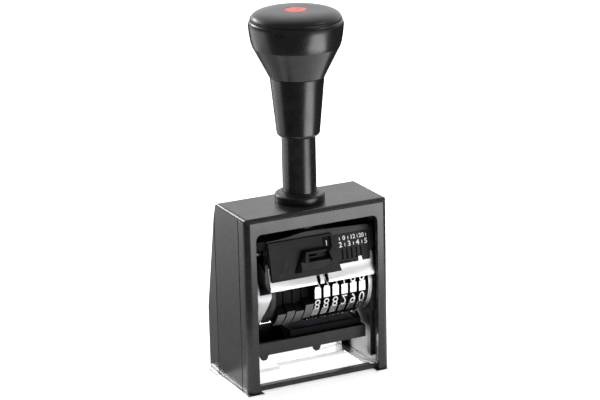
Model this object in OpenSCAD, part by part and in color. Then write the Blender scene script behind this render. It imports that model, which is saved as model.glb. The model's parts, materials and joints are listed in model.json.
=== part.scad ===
// Desk numbering machine: a plunger knob on a telescoping handle drives a carriage
// of number wheels down through a black housing, while an inking pad swings away.
// Construction is drawn about the plunger's axis (x = 0, y = 0) with z = 0 on the table.

/* [Wheels] */
// Radius over the figures of a wheel
wheel_r = 15.7; // [15.2:0.05:16.2]
// Width of a number wheel
wheel_w = 3.0; // [2.8:0.05:3.3]
// Gap between two number wheels, for the ratchet
wheel_gap = 1.18; // [1.1:0.01:1.4]
// Place of the first number wheel
first_wheel_x = 1.0; // [0.5:0.05:1.5]
// Height of the wheels' axle at rest
axle_z = 39.1; // [37:0.05:42]
// Distance from the plunger's axis back to the wheels' axle
axle_y = 2.5; // [2:0.05:3]
// Radius of the wheels' axle
axle_r = 2; // [1.6:0.05:2.4]
// Radius of the ratchet beside each wheel
ratchet_r = 10.8; // [10:0.1:11.5]
// Height of a figure above its rim
figure_h = 0.5; // [0.4:0.05:0.7]
// Width of the spacer ring beside the blank wheels
spacer_w = 2.25; // [1.5:0.05:3]
// Width of a blank wheel
blank_w = 3.7; // [3.2:0.05:4]
// Gap between two blank wheels
blank_gap = 0.5; // [0.4:0.05:0.8]
// Depth of the valleys between a blank wheel's lands
blank_valley = 4.8; // [4:0.1:5.5]

/* [Housing] */
// Thickness of the side and back walls
wall = 2.5; // [2.2:0.1:3]
// Thickness of the front wall
front_wall = 2.0; // [1.6:0.1:2.4]
// Thickness of the top wall
top_wall = 3; // [2.5:0.1:3.5]
// Gap between the carriage's cheeks and the side walls
side_gap = 0.8; // [0.6:0.05:1.2]
// Gap between the wheels and the front wall
front_gap = 0.55; // [0.5:0.05:1]
// Gap between the wheels and the upright lower back
rear_gap = 4.4; // [4:0.1:6]
// Gap between the carriage's socket and the guide tube's flange
head_gap = 2.5; // [2:0.1:4]
// How far the back leans in from its foot to the top
back_lean = 11.3; // [9:0.1:12]
// Height at which the sloping back turns upright
back_bend_z = 28.5; // [26:0.5:32]
// Radius of the upright front edges
corner_r = 2.6; // [2:0.1:3]
// Radius of the edges round the top face
edge_r = 1.6; // [1:0.1:2]
// Distance from the front face to the joint between front cover and housing
cover_d = 7.15; // [6.5:0.05:8]
// Width of the groove at the joint
groove_w = 0.4; // [0.3:0.05:0.6]
// Depth of the groove at the joint
groove_d = 0.3; // [0.2:0.05:0.5]
// Width of the legs on both sides of the front window
leg_w = 5; // [4.5:0.1:5.5]
// Height of the front face above the window
head_h = 7.15; // [6:0.05:8]
// Radius of the window's upper corners
window_r = 2.5; // [2:0.1:3]
// Width of the legs on both sides of the opening in the back
rear_leg_w = 3.5; // [3:0.1:4.5]
// Height of the upper edge of the opening in the back
rear_window_top = 42; // [40:0.5:48]

/* [Base] */
// Thickness of the steel base plate
base_t = 1; // [0.8:0.1:1.2]
// How far the base plate stands out beyond the housing
base_over = 1.3; // [1:0.1:2]
// Height of the black sill across the front
sill_h = 2; // [1.6:0.1:2.4]
// Distance from the print opening to the pad tray in front and behind
print_margin = 0.4; // [0:0.1:1]
// Depth of the notch in the print opening's back edge
print_step = 3.3; // [2:0.1:4]
// Radius of the base screws' shanks
screw_r = 0.9; // [0.8:0.05:1.1]
// Length of the base screws
screw_len = 5; // [4.5:0.1:5.5]

/* [Handle] */
// Outer radius of the fixed guide tube
tube_r = 7.1; // [6.6:0.05:7.6]
// Wall of the guide tube
tube_wall = 1.0; // [0.8:0.1:1.2]
// Radius of the collar nut
collar_r = 10.5; // [9.8:0.1:11.5]
// Height of the collar nut
collar_h = 3.4; // [2.8:0.1:4]
// Radius of the plunger rod
rod_r = 3; // [2.7:0.1:3.3]
// Length of the sleeve below the knob
sleeve_len = 24.1; // [22:0.1:28]
// Outer radius of the sleeve at its lower end
sleeve_low_r = 9.24; // [8.8:0.02:9.8]
// Outer radius of the sleeve where it meets the knob
sleeve_top_r = 11.4; // [10.8:0.05:12]
// Height of the knob's cone
cone_h = 12.3; // [11:0.1:14]
// Height of the knob's band above the cone
band_h = 11.7; // [10.5:0.1:13]
// Largest radius of the knob
knob_r = 19.76; // [19:0.02:21]
// Height of the crown above the band
crown_h = 4.3; // [3.5:0.1:5]
// Thickness of the knob's floor over the tube's end
knob_floor_t = 4.4; // [3:0.1:6]
// Radius of the disc let into the crown
disc_r = 4.55; // [4:0.05:5]
// Coils of the return spring
spring_coils = 12; // [10:1:14]
// Radius of the spring's wire
spring_wire_r = 0.5; // [0.4:0.05:0.6]

/* [Carriage] */
// Thickness of a cheek
cheek_t = 3; // [2.8:0.05:3.4]
// Thickness of the left side plate
left_plate_t = 1.2; // [0.8:0.05:1.5]
// Thickness of the right side plate
right_plate_t = 1.65; // [1.5:0.05:2]
// Gap between the figures and the carriage's deck above them
deck_gap = 5.7; // [5.4:0.1:7]
// Thickness of the carriage's deck
deck_t = 3.8; // [3:0.1:5]
// Lean of the carriage's face from upright, in degrees
face_lean = 12; // [11:0.5:13]
// Width of the selector slide
slide_w = 32.5; // [31:0.1:33]
// Height of the selector slide
slide_h = 16.2; // [15.5:0.1:17]
// Thickness of the selector slide
slide_t = 0.8; // [0.7:0.05:0.85]
// Number of clicks from one end of the slide's travel to the other
slide_clicks = 8; // [6:1:8]
// Travel of the slide for one click
click_pitch = 2.09; // [1.8:0.01:2.15]
// How far the thumb grip stands out of the slide
grip_h = 3; // [2:0.1:3.4]
// Width of the dial plate
dial_w = 15.9; // [15:0.1:17]
// Thickness of the dial plate
dial_t = 0.8; // [0.6:0.05:1]
// Thickness of the steel front bar
bar_t = 0.55; // [0.45:0.05:0.6]
// Width of the bar's upright beside the dial
ear_w = 1.7; // [1.4:0.05:2]
// Height of the steel front bar
bar_h = 6.7; // [6.2:0.1:7.2]

/* [Inking] */
// Swing of the pad carrier over a full stroke, in degrees
pad_swing = 87; // [86:1:90]
// Gap between the ink pad and the figures at rest
pad_gap = 0.7; // [0.5:0.1:1]
// Height of the ink pad over the tray's floor
pad_h = 6.8; // [6:0.1:7.5]
// Depth of the tray from front to back
tray_d = 15.6; // [14:0.1:16]
// Height of the tray's front bar
tray_bar_h = 5.4; // [5:0.1:5.8]
// Thickness of the tray's floor
tray_floor_t = 1.5; // [1:0.1:2]
// Thickness of a pad arm
arm_t = 1.2; // [0.8:0.1:1.4]
// Radius of the pad carrier's pivot pins
pin_r = 1.5; // [1.2:0.05:1.8]

/* [Clearances] */
// Radial clearance of a turning or sliding shaft
run_gap = 0.05; // [0.03:0.01:0.09]
// Clearance between flat faces that slide past each other
slide_gap = 0.3; // [0.2:0.05:0.35]
// Clearance of a seat that holds still
seat_gap = 0.02; // [0.01:0.01:0.04]
// Clearance of the wheels above the table at the end of the stroke
print_gap = 0.1; // [0.05:0.05:0.2]

/* [Hidden] */
$fn = 96;
eps = 0.02;

// Wheels: places along the axle, from the blank wheels on the left to the last ratchet
wheel_pitch = wheel_w + wheel_gap;
blank_pitch = blank_w + blank_gap;
ratchet_t = wheel_gap - 0.43;
rim_gap = 0.25;
first_blank_x = first_wheel_x - wheel_w / 2 - rim_gap - blank_w / 2 - 3 * blank_pitch;
spacer_right = first_blank_x - blank_w / 2 - rim_gap;
spacer_left = spacer_right - spacer_w;
row_left = spacer_left - rim_gap;
wheels_right = first_wheel_x + 5 * wheel_pitch + wheel_w / 2;
wheel_low_z = axle_z - wheel_r;
wheel_top_z = axle_z + wheel_r;
travel = wheel_low_z - print_gap;

// Carriage and housing: widths that follow from the wheels
rocker_t = 0.6;
rocker_left_x = row_left - 1.35;
rocker_right_x = wheels_right + ratchet_t + 0.15;
cheek_in = rocker_right_x + rocker_t + 0.15 + right_plate_t;
carriage_half_w = cheek_in + cheek_t;
inner_half_w = carriage_half_w + side_gap;
half_w = inner_half_w + wall;
body_w = 2 * half_w;
window_w = 2 * (half_w - leg_w);
rear_window_w = 2 * (half_w - rear_leg_w);

// Depths
inner_front = wheel_r - axle_y + front_gap;
front_d = inner_front + front_wall;
parting_d = front_d - cover_d;
back_foot_d = axle_y + wheel_r + rear_gap + wall;
back_top_d = back_foot_d - back_lean;
centre_y = (back_foot_d + base_over - knob_r) / 2;

// Heights of the carriage and the housing
deck_z = wheel_top_z + deck_gap;
deck_top = deck_z + deck_t;
socket_top = deck_z + 9;
flange_t = 2;
body_h = socket_top + head_gap + flange_t + top_wall;
window_top = body_h - head_h;

// Heights of the handle
collar_lip = 0.7;
sleeve_z = body_h + collar_h + collar_lip + travel + 1.9;
knob_z = sleeve_z + sleeve_len;
rim_z = knob_z + cone_h + band_h;
knob_floor_top = rim_z - 1.6;
knob_bore_top = knob_floor_top - knob_floor_t;
tube_top = knob_bore_top - travel - 1.5;

// Carriage places
cheek_front = inner_front - 1.75;
cheek_z = base_t + sill_h + 0.4 + travel;
bar_z = axle_z + 4.2;
bar_top_z = bar_z + bar_h;
slide_z = axle_z + 8.3;
slide_top_z = slide_z + slide_h;
lean_z = axle_z + 7.9;
lean_low = lean_z - 7;
lean_high = deck_top + 6;
lean_tan = tan(face_lean);
bar_face_d = inner_front - 0.25;
slide_back_d = inner_front - 0.15 - slide_t;
dial_d = slide_back_d - slide_gap;
slide_travel = slide_clicks * click_pitch;

// Distance in front of the plunger's axis of a leaning face that has depth d at height z0
function lean_y(d, z) = -d + (z - lean_z) * lean_tan;
// Points of an arc in the plane, for outlines
function arc(cx, cy, r, a0, a1, n = 8) =
    [for (i = [0:n]) [cx + r * cos(a0 + (a1 - a0) * i / n), cy + r * sin(a0 + (a1 - a0) * i / n)]];

module place() {
    translate([0, -centre_y, 0]) children();
}

// An outline in the side view (y, z), given a width along x from x0 to x1
module side_slab(x0, x1, points) {
    translate([x0, 0, 0]) rotate([90, 0, 90]) linear_extrude(height = x1 - x0) polygon(points);
}

// An outline in the front view (x, z), given a depth along y from y0 back to y1
module front_slab(y0, y1, points) {
    translate([0, y1, 0]) rotate([90, 0, 0]) linear_extrude(height = y1 - y0) polygon(points);
}

// A bar along x, round, centred on (y, z)
module x_rod(r, x0, x1, y = axle_y, z = axle_z) {
    translate([x0, y, z]) rotate([0, 90, 0]) cylinder(r = r, h = x1 - x0);
}

module box(x0, x1, y0, y1, z0, z1) {
    translate([x0, y0, z0]) cube([x1 - x0, y1 - y0, z1 - z0]);
}

// ---------------------------------------------------------------- housing

// Plan of the housing, drawn in by an inset
module housing_plan(inset) {
    w = half_w - inset;
    f = front_d - inset;
    r = max(corner_r - inset, 0.4);
    translate([-w, -f + r]) square([2 * w, back_top_d + 0.8 + f - r]);
    translate([-w + r, -f]) square([2 * (w - r), 2 * r]);
    for (s = [-1, 1]) {
        translate([s * (w - r), -f + r]) circle(r = r);
    }
    crease = back_top_d + 0.2;
    rear = back_foot_d + 5;
    polygon([[-w, crease], [w, crease], [w - 0.9, rear], [-w + 0.9, rear]]);
}

// Solid outer form of the housing, drawn in by an inset
module housing_form(inset) {
    top = body_h - inset;
    back = back_top_d - inset;
    foot = back_foot_d - inset;
    w = half_w - inset;
    f = front_d - inset;
    r = edge_r;
    intersection() {
        translate([0, 0, base_t]) linear_extrude(height = body_h) housing_plan(inset);
        side_slab(-w, w, concat(
            [[-f, 0], [-f, top - r]], arc(-f + r, top - r, r, 180, 90),
            arc(back - r, top - r, r, 90, 13),
            [[foot, back_bend_z], [foot, 0]]));
        front_slab(-f, foot, concat(
            [[w, 0]], arc(w - r, top - r, r, 0, 90), arc(-w + r, top - r, r, 90, 180), [[-w, 0]]));
    }
}

// Hollow inside the housing, open at the bottom
module housing_hollow() {
    slope = (back_foot_d - back_top_d) / (body_h - back_bend_z);
    side_slab(-inner_half_w, inner_half_w, [
        [-inner_front, -1], [-inner_front, body_h - top_wall],
        [back_top_d - wall + slope * top_wall, body_h - top_wall],
        [back_foot_d - wall, back_bend_z], [back_foot_d - wall, -1]]);
}

// Space that the front cover fills: the front wall and its short returns along the sides
module cover_zone(back, top) {
    box(-body_w, body_w, -front_d - 1, -back, -1, top);
}

cover_top = body_h - edge_r;
foot_block_h = screw_len + 2;
foot_block_w = leg_w;
screw_x = half_w - foot_block_w / 2;
front_screw_y = -inner_front + 0.25;
rear_screw_y = back_foot_d - wall - 1.8;
rear_block_w = rear_leg_w;
rear_screw_x = half_w - wall - 0.4;

module screw_holes(x, y) {
    for (s = [-1, 1]) {
        translate([s * x, y, 0]) cylinder(r = screw_r + seat_gap, h = screw_len + 0.5);
    }
}

module housing() {
    color([0.075, 0.075, 0.08]) difference() {
        union() {
            difference() {
                housing_form(0);
                housing_hollow();
                cover_zone(parting_d, cover_top);
                box(-rear_window_w / 2, rear_window_w / 2, back_top_d - wall - 1, back_foot_d + 5,
                    0, rear_window_top);
            }
            for (s = [-1, 1]) {
                x0 = s > 0 ? rear_window_w / 2 - 1.4 : -half_w + 1;
                box(x0, x0 + rear_block_w + 0.4, rear_screw_y - 2, back_foot_d - 0.5,
                    base_t, foot_block_h);
            }
        }
        translate([0, 0, body_h - top_wall - 1]) cylinder(r = tube_r + seat_gap, h = top_wall + 2);
        screw_holes(rear_screw_x, rear_screw_y);
        x_rod(pin_r + seat_gap, -half_w + 1, half_w - 1, pad_pivot_y, pad_pivot_z);
    }
}

module front_cover() {
    color([0.085, 0.085, 0.09]) difference() {
        union() {
            difference() {
                intersection() {
                    housing_form(0);
                    cover_zone(parting_d + groove_w, cover_top);
                }
                housing_hollow();
                window();
            }
            difference() {
                intersection() {
                    housing_form(groove_d);
                    cover_zone(parting_d, cover_top);
                }
                housing_hollow();
                window();
            }
            for (s = [-1, 1]) {
                x0 = s > 0 ? half_w - foot_block_w : -half_w + 1;
                box(x0, x0 + foot_block_w - 1, -front_d + 1, -cheek_front - slide_gap, base_t, foot_block_h);
            }
            box(-window_w / 2 - 1, window_w / 2 + 1, -inner_front, -cheek_front - slide_gap,
                base_t, base_t + sill_h);
            box(-notch_half_w + 0.5, notch_half_w - 0.5, -inner_front, -base_notch_d + 2.6, base_t, base_t + sill_h);
        }
        screw_holes(screw_x, front_screw_y);
    }
}

module window() {
    w = window_w / 2;
    front_slab(-front_d - 1, -inner_front + 0.5, concat(
        [[w, 0]], arc(w - window_r, window_top - window_r, window_r, 0, 90),
        arc(-w + window_r, window_top - window_r, window_r, 90, 180), [[-w, 0]]));
}

// Openings in the base plate
base_notch_d = inner_front - 0.95;
notch_half_w = half_w - leg_w - 1.5;

module base_plate() {
    print_left = -cheek_in + 0.7;
    print_right = cheek_in - 1.1;
    print_front = tray_front - print_margin + 0.4;
    print_back = tray_back + print_margin;
    w = half_w + base_over;
    f = front_d + base_over;
    b = back_foot_d + base_over;
    color([0.82, 0.82, 0.84]) difference() {
        linear_extrude(height = base_t) union() {
            translate([-w + 1, -f]) square([2 * w - 2, f + b]);
            translate([-w, -f + 1]) square([2 * w, f + b - 2]);
            for (s = [-1, 1]) {
                translate([s * (w - 1), -f + 1]) circle(r = 1);
                translate([s * (w - 1), b - 1]) circle(r = 1);
            }
        }
        box(-notch_half_w, notch_half_w, -f - 1, -base_notch_d, -1, base_t + 1);
        box(print_left, print_right, print_front, print_back, -1, base_t + 1);
        box(first_wheel_x - 8, print_right, print_front, print_back + print_step, -1, base_t + 1);
        screw_recess(screw_x, front_screw_y);
        screw_recess(rear_screw_x, rear_screw_y);
    }
}

module screw_recess(x, y) {
    for (s = [-1, 1]) {
        translate([s * x, y, -eps]) cylinder(r1 = 2 * screw_r, r2 = screw_r, h = 0.8 * base_t);
        translate([s * x, y, 0]) cylinder(r = screw_r + seat_gap, h = 3 * base_t);
    }
}

module base_screw() {
    difference() {
        union() {
            translate([0, 0, seat_gap]) cylinder(r1 = 2 * screw_r - 0.05, r2 = screw_r - 0.05, h = 0.76 * base_t);
            cylinder(r = screw_r, h = screw_len);
        }
        translate([-screw_r - 1, -0.2, -eps]) cube([2 * screw_r + 2, 0.4, 0.4]);
    }
}

module base_screws() {
    color([0.5, 0.5, 0.52]) for (s = [-1, 1]) {
        translate([s * screw_x, front_screw_y, 0]) base_screw();
        translate([s * rear_screw_x, rear_screw_y, 0]) base_screw();
    }
}

// ---------------------------------------------------------------- handle

flange_r = tube_r + 2.5;
flange_z = body_h - top_wall - flange_t;

module guide_tube() {
    color([0.1, 0.1, 0.105]) difference() {
        union() {
            translate([0, 0, flange_z]) cylinder(r = tube_r, h = tube_top - flange_z);
            translate([0, 0, flange_z]) cylinder(r = flange_r, h = flange_t);
        }
        translate([0, 0, flange_z + flange_t]) cylinder(r = tube_r - tube_wall, h = tube_top);
        translate([0, 0, flange_z - 1]) cylinder(r = rod_r + run_gap, h = flange_t + 2);
    }
}

module collar_nut() {
    lip_r = tube_r + 0.9;
    lip_h = collar_lip;
    bevel = 0.5;
    color([0.09, 0.09, 0.095]) rotate_extrude() polygon([
        [tube_r + seat_gap, body_h], [collar_r, body_h], [collar_r, body_h + collar_h - bevel],
        [collar_r - bevel, body_h + collar_h], [lip_r, body_h + collar_h],
        [lip_r - 0.2, body_h + collar_h + lip_h], [tube_r + seat_gap, body_h + collar_h + lip_h]]);
}

sleeve_bore = tube_r + run_gap;
sleeve_end_z = knob_z + 4;
sleeve_neck_r = sleeve_top_r - 0.9;

module handle_sleeve() {
    r = min(2.05, sleeve_low_r - sleeve_bore);
    color([0.08, 0.08, 0.085]) rotate_extrude() polygon(concat(
        [[sleeve_bore, sleeve_end_z], [sleeve_bore, sleeve_z]],
        arc(sleeve_low_r - r, sleeve_z + r, r, -84, -5),
        [[sleeve_top_r, knob_z], [sleeve_neck_r, knob_z], [sleeve_neck_r, sleeve_end_z]]));
}

cap_r = knob_r - 1.1;
nut_h = 2.4;
nut_r = 3.4;

module knob() {
    cone_r = sleeve_top_r + 0.25;
    belly_z = knob_z + cone_h;
    belly_r = knob_r - 1.8;
    color([0.07, 0.07, 0.075]) rotate_extrude() polygon(concat(
        [[sleeve_neck_r + seat_gap, knob_z], [cone_r, knob_z], [belly_r, belly_z]],
        [[belly_r + 0.2, belly_z + 0.25], [knob_r - 0.95, belly_z + 2.3],
         [knob_r - 0.4, belly_z + 5.4], [knob_r - 0.1, belly_z + 8.4], [knob_r, rim_z - 1.9]],
        [[knob_r - 0.08, rim_z - 0.9], [knob_r - 0.35, rim_z - 0.3], [cap_r + seat_gap, rim_z - 0.12]],
        [[cap_r + seat_gap, knob_floor_top], [rod_r + seat_gap, knob_floor_top],
         [rod_r + seat_gap, knob_bore_top], [sleeve_bore, knob_bore_top],
         [sleeve_bore, sleeve_end_z], [sleeve_neck_r + seat_gap, sleeve_end_z]]));
}

crown_r = knob_r - 0.76;

// Height of the crown's surface at radius r: a flat dome with a full round shoulder
function crown_z(r) = rim_z + crown_h * pow(max(0, 1 - pow(r / crown_r, 5.5)), 0.55);

module knob_cap() {
    hollow_h = nut_h + 0.3;
    recess = 0.5;
    hole_r = disc_r + seat_gap;
    color([0.09, 0.09, 0.095]) rotate_extrude() polygon(concat(
        [[nut_r + 1, knob_floor_top], [cap_r, knob_floor_top], [cap_r, rim_z - 0.1]],
        [for (i = [0:18]) let (r = hole_r + (crown_r - hole_r) * cos(i * 5)) [r, crown_z(r)]],
        [[hole_r, crown_z(disc_r) - recess], [0, crown_z(disc_r) - recess], [0, knob_floor_top + hollow_h],
         [nut_r + 1, knob_floor_top + hollow_h]]));
}

module knob_disc() {
    recess = 0.5;
    color([0.85, 0.1, 0.08]) rotate_extrude() polygon(concat(
        [[0, crown_z(disc_r) - recess], [disc_r, crown_z(disc_r) - recess]],
        [for (i = [0:6]) let (r = disc_r * (1 - i / 6)) [r, crown_z(r) - 0.02]]));
}

rod_seat_z = deck_z + 1;
piston_z = tube_top - 4;
piston_t = 2;

module plunger_rod() {
    nut_thread_r = 2;
    color([0.78, 0.78, 0.8]) union() {
        translate([0, 0, rod_seat_z]) cylinder(r = rod_r, h = knob_floor_top - rod_seat_z);
        translate([0, 0, piston_z]) cylinder(r = tube_r - tube_wall - 2 * run_gap, h = piston_t);
        translate([0, 0, knob_floor_top - 1]) cylinder(r = nut_thread_r, h = nut_h + 1);
    }
}

module rod_nut() {
    color([0.7, 0.68, 0.6]) difference() {
        translate([0, 0, knob_floor_top]) cylinder(r = nut_r, h = nut_h, $fn = 6);
        translate([0, 0, knob_floor_top - 1]) cylinder(r = 2 + seat_gap, h = nut_h + 2);
    }
}

spring_foot_z = flange_z + flange_t;
spring_r = (rod_r + tube_r - tube_wall) / 2;
spring_low = spring_foot_z + spring_wire_r + 0.05;
spring_high = piston_z - spring_wire_r - 0.05;
spring_pitch = (spring_high - spring_low) / spring_coils;
ring_sides = 6;
rings_a_coil = 8;

// Middle of the wire after a number of rings, and a point round it
function coil_mid(i) =
    let (a = 360 * i / rings_a_coil)
    [spring_r * cos(a), spring_r * sin(a), spring_low + spring_pitch * i / rings_a_coil];
function coil_point(i, k) =
    let (a = 360 * i / rings_a_coil, b = 360 * k / ring_sides,
         rr = spring_r + spring_wire_r * cos(b))
    [rr * cos(a), rr * sin(a), coil_mid(i)[2] + spring_wire_r * sin(b)];

module return_spring() {
    n = spring_coils * rings_a_coil;
    m = ring_sides;
    points = [for (i = [0:n]) for (k = [0:m - 1]) coil_point(i, k)];
    sides = [for (i = [0:n - 1]) for (k = [0:m - 1]) let (a = i * m + k, b = i * m + (k + 1) % m)
        each [[a, b, b + m], [a, b + m, a + m]]];
    first = [for (k = [1:m - 2]) [0, k + 1, k]];
    last = [for (k = [1:m - 2]) [n * m, n * m + k, n * m + k + 1]];
    color([0.65, 0.65, 0.68]) polyhedron(points = points, faces = concat(sides, first, last));
}
echo(spring_least_gap = spring_pitch - 2 * spring_wire_r);

// ---------------------------------------------------------------- guides and pins in the housing

rail_y = -5;
rail_w = 3;
rail_in = carriage_half_w - 0.75;
rail_low_z = base_t + 3;

module guide_rail(side) {
    x0 = side > 0 ? rail_in : -inner_half_w;
    color([0.16, 0.16, 0.17])
        box(x0, x0 + inner_half_w - rail_in, rail_y - rail_w / 2, rail_y + rail_w / 2,
            rail_low_z, body_h - top_wall);
}

pad_pivot_y = axle_y + wheel_r - 1.2;
pad_pivot_z = axle_z - 3.6;
arm_in = cheek_in + 0.5;
arm_hub_r = pin_r + 1.3;

module pad_pivot_pins() {
    color([0.75, 0.75, 0.77]) for (s = [-1, 1]) {
        x0 = s > 0 ? arm_in : -half_w + 1;
        x_rod(pin_r, x0, x0 + half_w - 1 - arm_in, pad_pivot_y, pad_pivot_z);
    }
}

// ---------------------------------------------------------------- carriage

block_left = row_left - 0.7;
block_right = cheek_in + 1.15;
block_z = bar_top_z + 0.4;
block_back = -6;
ear_top = bar_top_z + 3.3;
ear_tip = ear_top + 1.2;
deck_front = -inner_front + 5.15;
deck_back = back_top_d - wall - 0.8;
cheek_back = axle_y + 5.5;
tie_y = -3.5;
tie_z = wheel_top_z + 3;
tie_r = 1.2;

// Upper outline of the carriage's face: it rises in a soft step towards the middle
function brow_z(x) = deck_top + 1.5 / (1 + exp(-(x + 8.5) / 2.2)) - 0.045 * max(x, 0);

module carriage_frame() {
    brow_right = carriage_half_w - 0.8;
    color([0.1, 0.1, 0.105]) difference() {
        union() {
            // Face wall behind the dial
            intersection() {
                front_slab(-inner_front, block_back, concat(
                    [[block_left, block_z], [block_right, block_z], [block_right, ear_tip],
                     [brow_right, ear_tip]],
                    arc(brow_right - 3, brow_z(brow_right - 3) - 3, 3, 0, 90),
                    [for (i = [0:14]) let (x = brow_right - 4.9 - i * (brow_right - 4.9 - block_left) / 14)
                        [x, brow_z(x)]]));
                side_slab(-inner_half_w, inner_half_w, [
                    [lean_y(dial_d, lean_low), lean_low], [lean_y(dial_d, deck_top + 2) - 0.3, deck_top + 2],
                    [lean_y(dial_d, deck_top + 2) + 0.4, deck_top + 2.7], [block_back, deck_top + 2.7],
                    [block_back, lean_low]]);
            }
            // Deck over the wheels
            box(-carriage_half_w, carriage_half_w, deck_front, deck_back, deck_z, deck_top);
            // Cheeks on both sides of the wheels
            for (s = [-1, 1]) {
                x0 = s > 0 ? cheek_in : -carriage_half_w;
                side_slab(x0, x0 + cheek_t, [
                    [-cheek_front, cheek_z], [-cheek_front, bar_z - 0.4], [deck_front + 0.3, bar_z - 0.4],
                    [deck_front + 0.3, deck_z + 1], [cheek_back, deck_z + 1], [cheek_back, cheek_z - 0.6]]);
            }
            // Socket for the plunger rod
            translate([0, 0, deck_z]) cylinder(r = rod_r + 3.5, h = socket_top - deck_z);
        }
        // Hole for the plunger rod
        translate([0, 0, rod_seat_z]) cylinder(r = rod_r + seat_gap, h = 30);
        // Axle hole with a recess for each clip
        x_rod(axle_r + seat_gap, -carriage_half_w - 1, carriage_half_w + 1);
        x_rod(clip_r + 0.5, carriage_half_w - clip_recess, carriage_half_w + 1);
        x_rod(clip_r + 0.5, -carriage_half_w - 1, -carriage_half_w + clip_recess);
        // Tie rod
        x_rod(tie_r + seat_gap, -carriage_half_w - 1, carriage_half_w + 1, tie_y, tie_z);
        // Grooves that run on the guide rails
        for (s = [-1, 1]) {
            x0 = s > 0 ? rail_in - slide_gap / 2 : -carriage_half_w - 1;
            box(x0, x0 + carriage_half_w + 1 - rail_in + slide_gap / 2,
                rail_y - rail_w / 2 - slide_gap / 2, rail_y + rail_w / 2 + slide_gap / 2,
                cheek_z - 5, deck_top + 5);
        }
        // Room for the wheels behind the face wall
        x_rod(wheel_r + slide_gap, -cheek_in, cheek_in);
        // Seats of the dial plate and of the front bar's tab
        dial_pocket(0.05);
        box(tab_left - 0.1, tab_left + tab_w + 0.1, -inner_front, lean_y(dial_d - dial_t, block_z),
            block_z - 1, dial_z);
        // Room for the upright at the bar's right end
        box(block_right + bar_t - ear_w - 0.1, block_right + 1, -inner_front,
            bar_y(ear_top) + bar_t + 0.15, block_z - 1, ear_top + 0.15);
        // Track for the slide's tongue
        box(tongue_x - 0.5, tongue_x + tongue_w + slide_travel + 0.5,
            -inner_front, lean_y(dial_d, tongue_z) + tongue_d + 0.4,
            tongue_z - slide_gap / 2, tongue_z + tongue_h + slide_gap / 2);
    }
}

clip_r = 3.4;
clip_t = 0.5;
clip_recess = 1;
dial_right = block_right + bar_t - ear_w - 0.15;
dial_left = dial_right - dial_w;
dial_z = block_z + 0.25;
dial_top = dial_z + 11.55;
tab_left = dial_right - 5.55;
tab_w = 1.8;
tab_top = bar_top_z + 1.9;

// Space of the dial plate, with a margin round it
module dial_pocket(margin) {
    intersection() {
        box(dial_left - margin, dial_right + margin, -inner_front, 0, dial_z - margin, dial_top + margin);
        side_slab(-half_w, half_w, [
            [lean_y(dial_d, lean_low) - 1, lean_low], [lean_y(dial_d, lean_high) - 1, lean_high],
            [lean_y(dial_d - dial_t, lean_high), lean_high], [lean_y(dial_d - dial_t, lean_low), lean_low]]);
    }
}

module dial_plate() {
    slots = 5;
    slot_pitch = 2.18;
    slot_x = dial_left + 3.05;
    color([0.12, 0.12, 0.125]) difference() {
        intersection() {
            dial_pocket(0);
            side_slab(-half_w, half_w, [
                [lean_y(dial_d, lean_low), lean_low], [lean_y(dial_d, lean_high), lean_high],
                [0, lean_high], [0, lean_low]]);
        }
        for (i = [0:slots - 1]) {
            x = slot_x + i * slot_pitch;
            box(x - 0.5, x + 0.5, -front_d, 0, dial_z + 1.05, dial_z + 5.25);
        }
        // Notch round the front bar's tab
        box(tab_left - 0.1, tab_left + tab_w + 0.1, -front_d, 0, dial_z - 1, tab_top + 0.15);
    }
}

bar_bend_z = bar_z + 1.4;
bar_knee_z = slide_z - 0.2;
bar_knee_y = lean_y(slide_back_d, slide_z) + 0.25;

// Depth of the bar's front face at height z: upright, then leaning back behind the slide
function bar_y(z) =
    z < bar_bend_z ? -bar_face_d
    : z < bar_knee_z ? -bar_face_d + (z - bar_bend_z) / (bar_knee_z - bar_bend_z) * (bar_knee_y + bar_face_d)
    : bar_knee_y + (z - bar_knee_z) * lean_tan;

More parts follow.
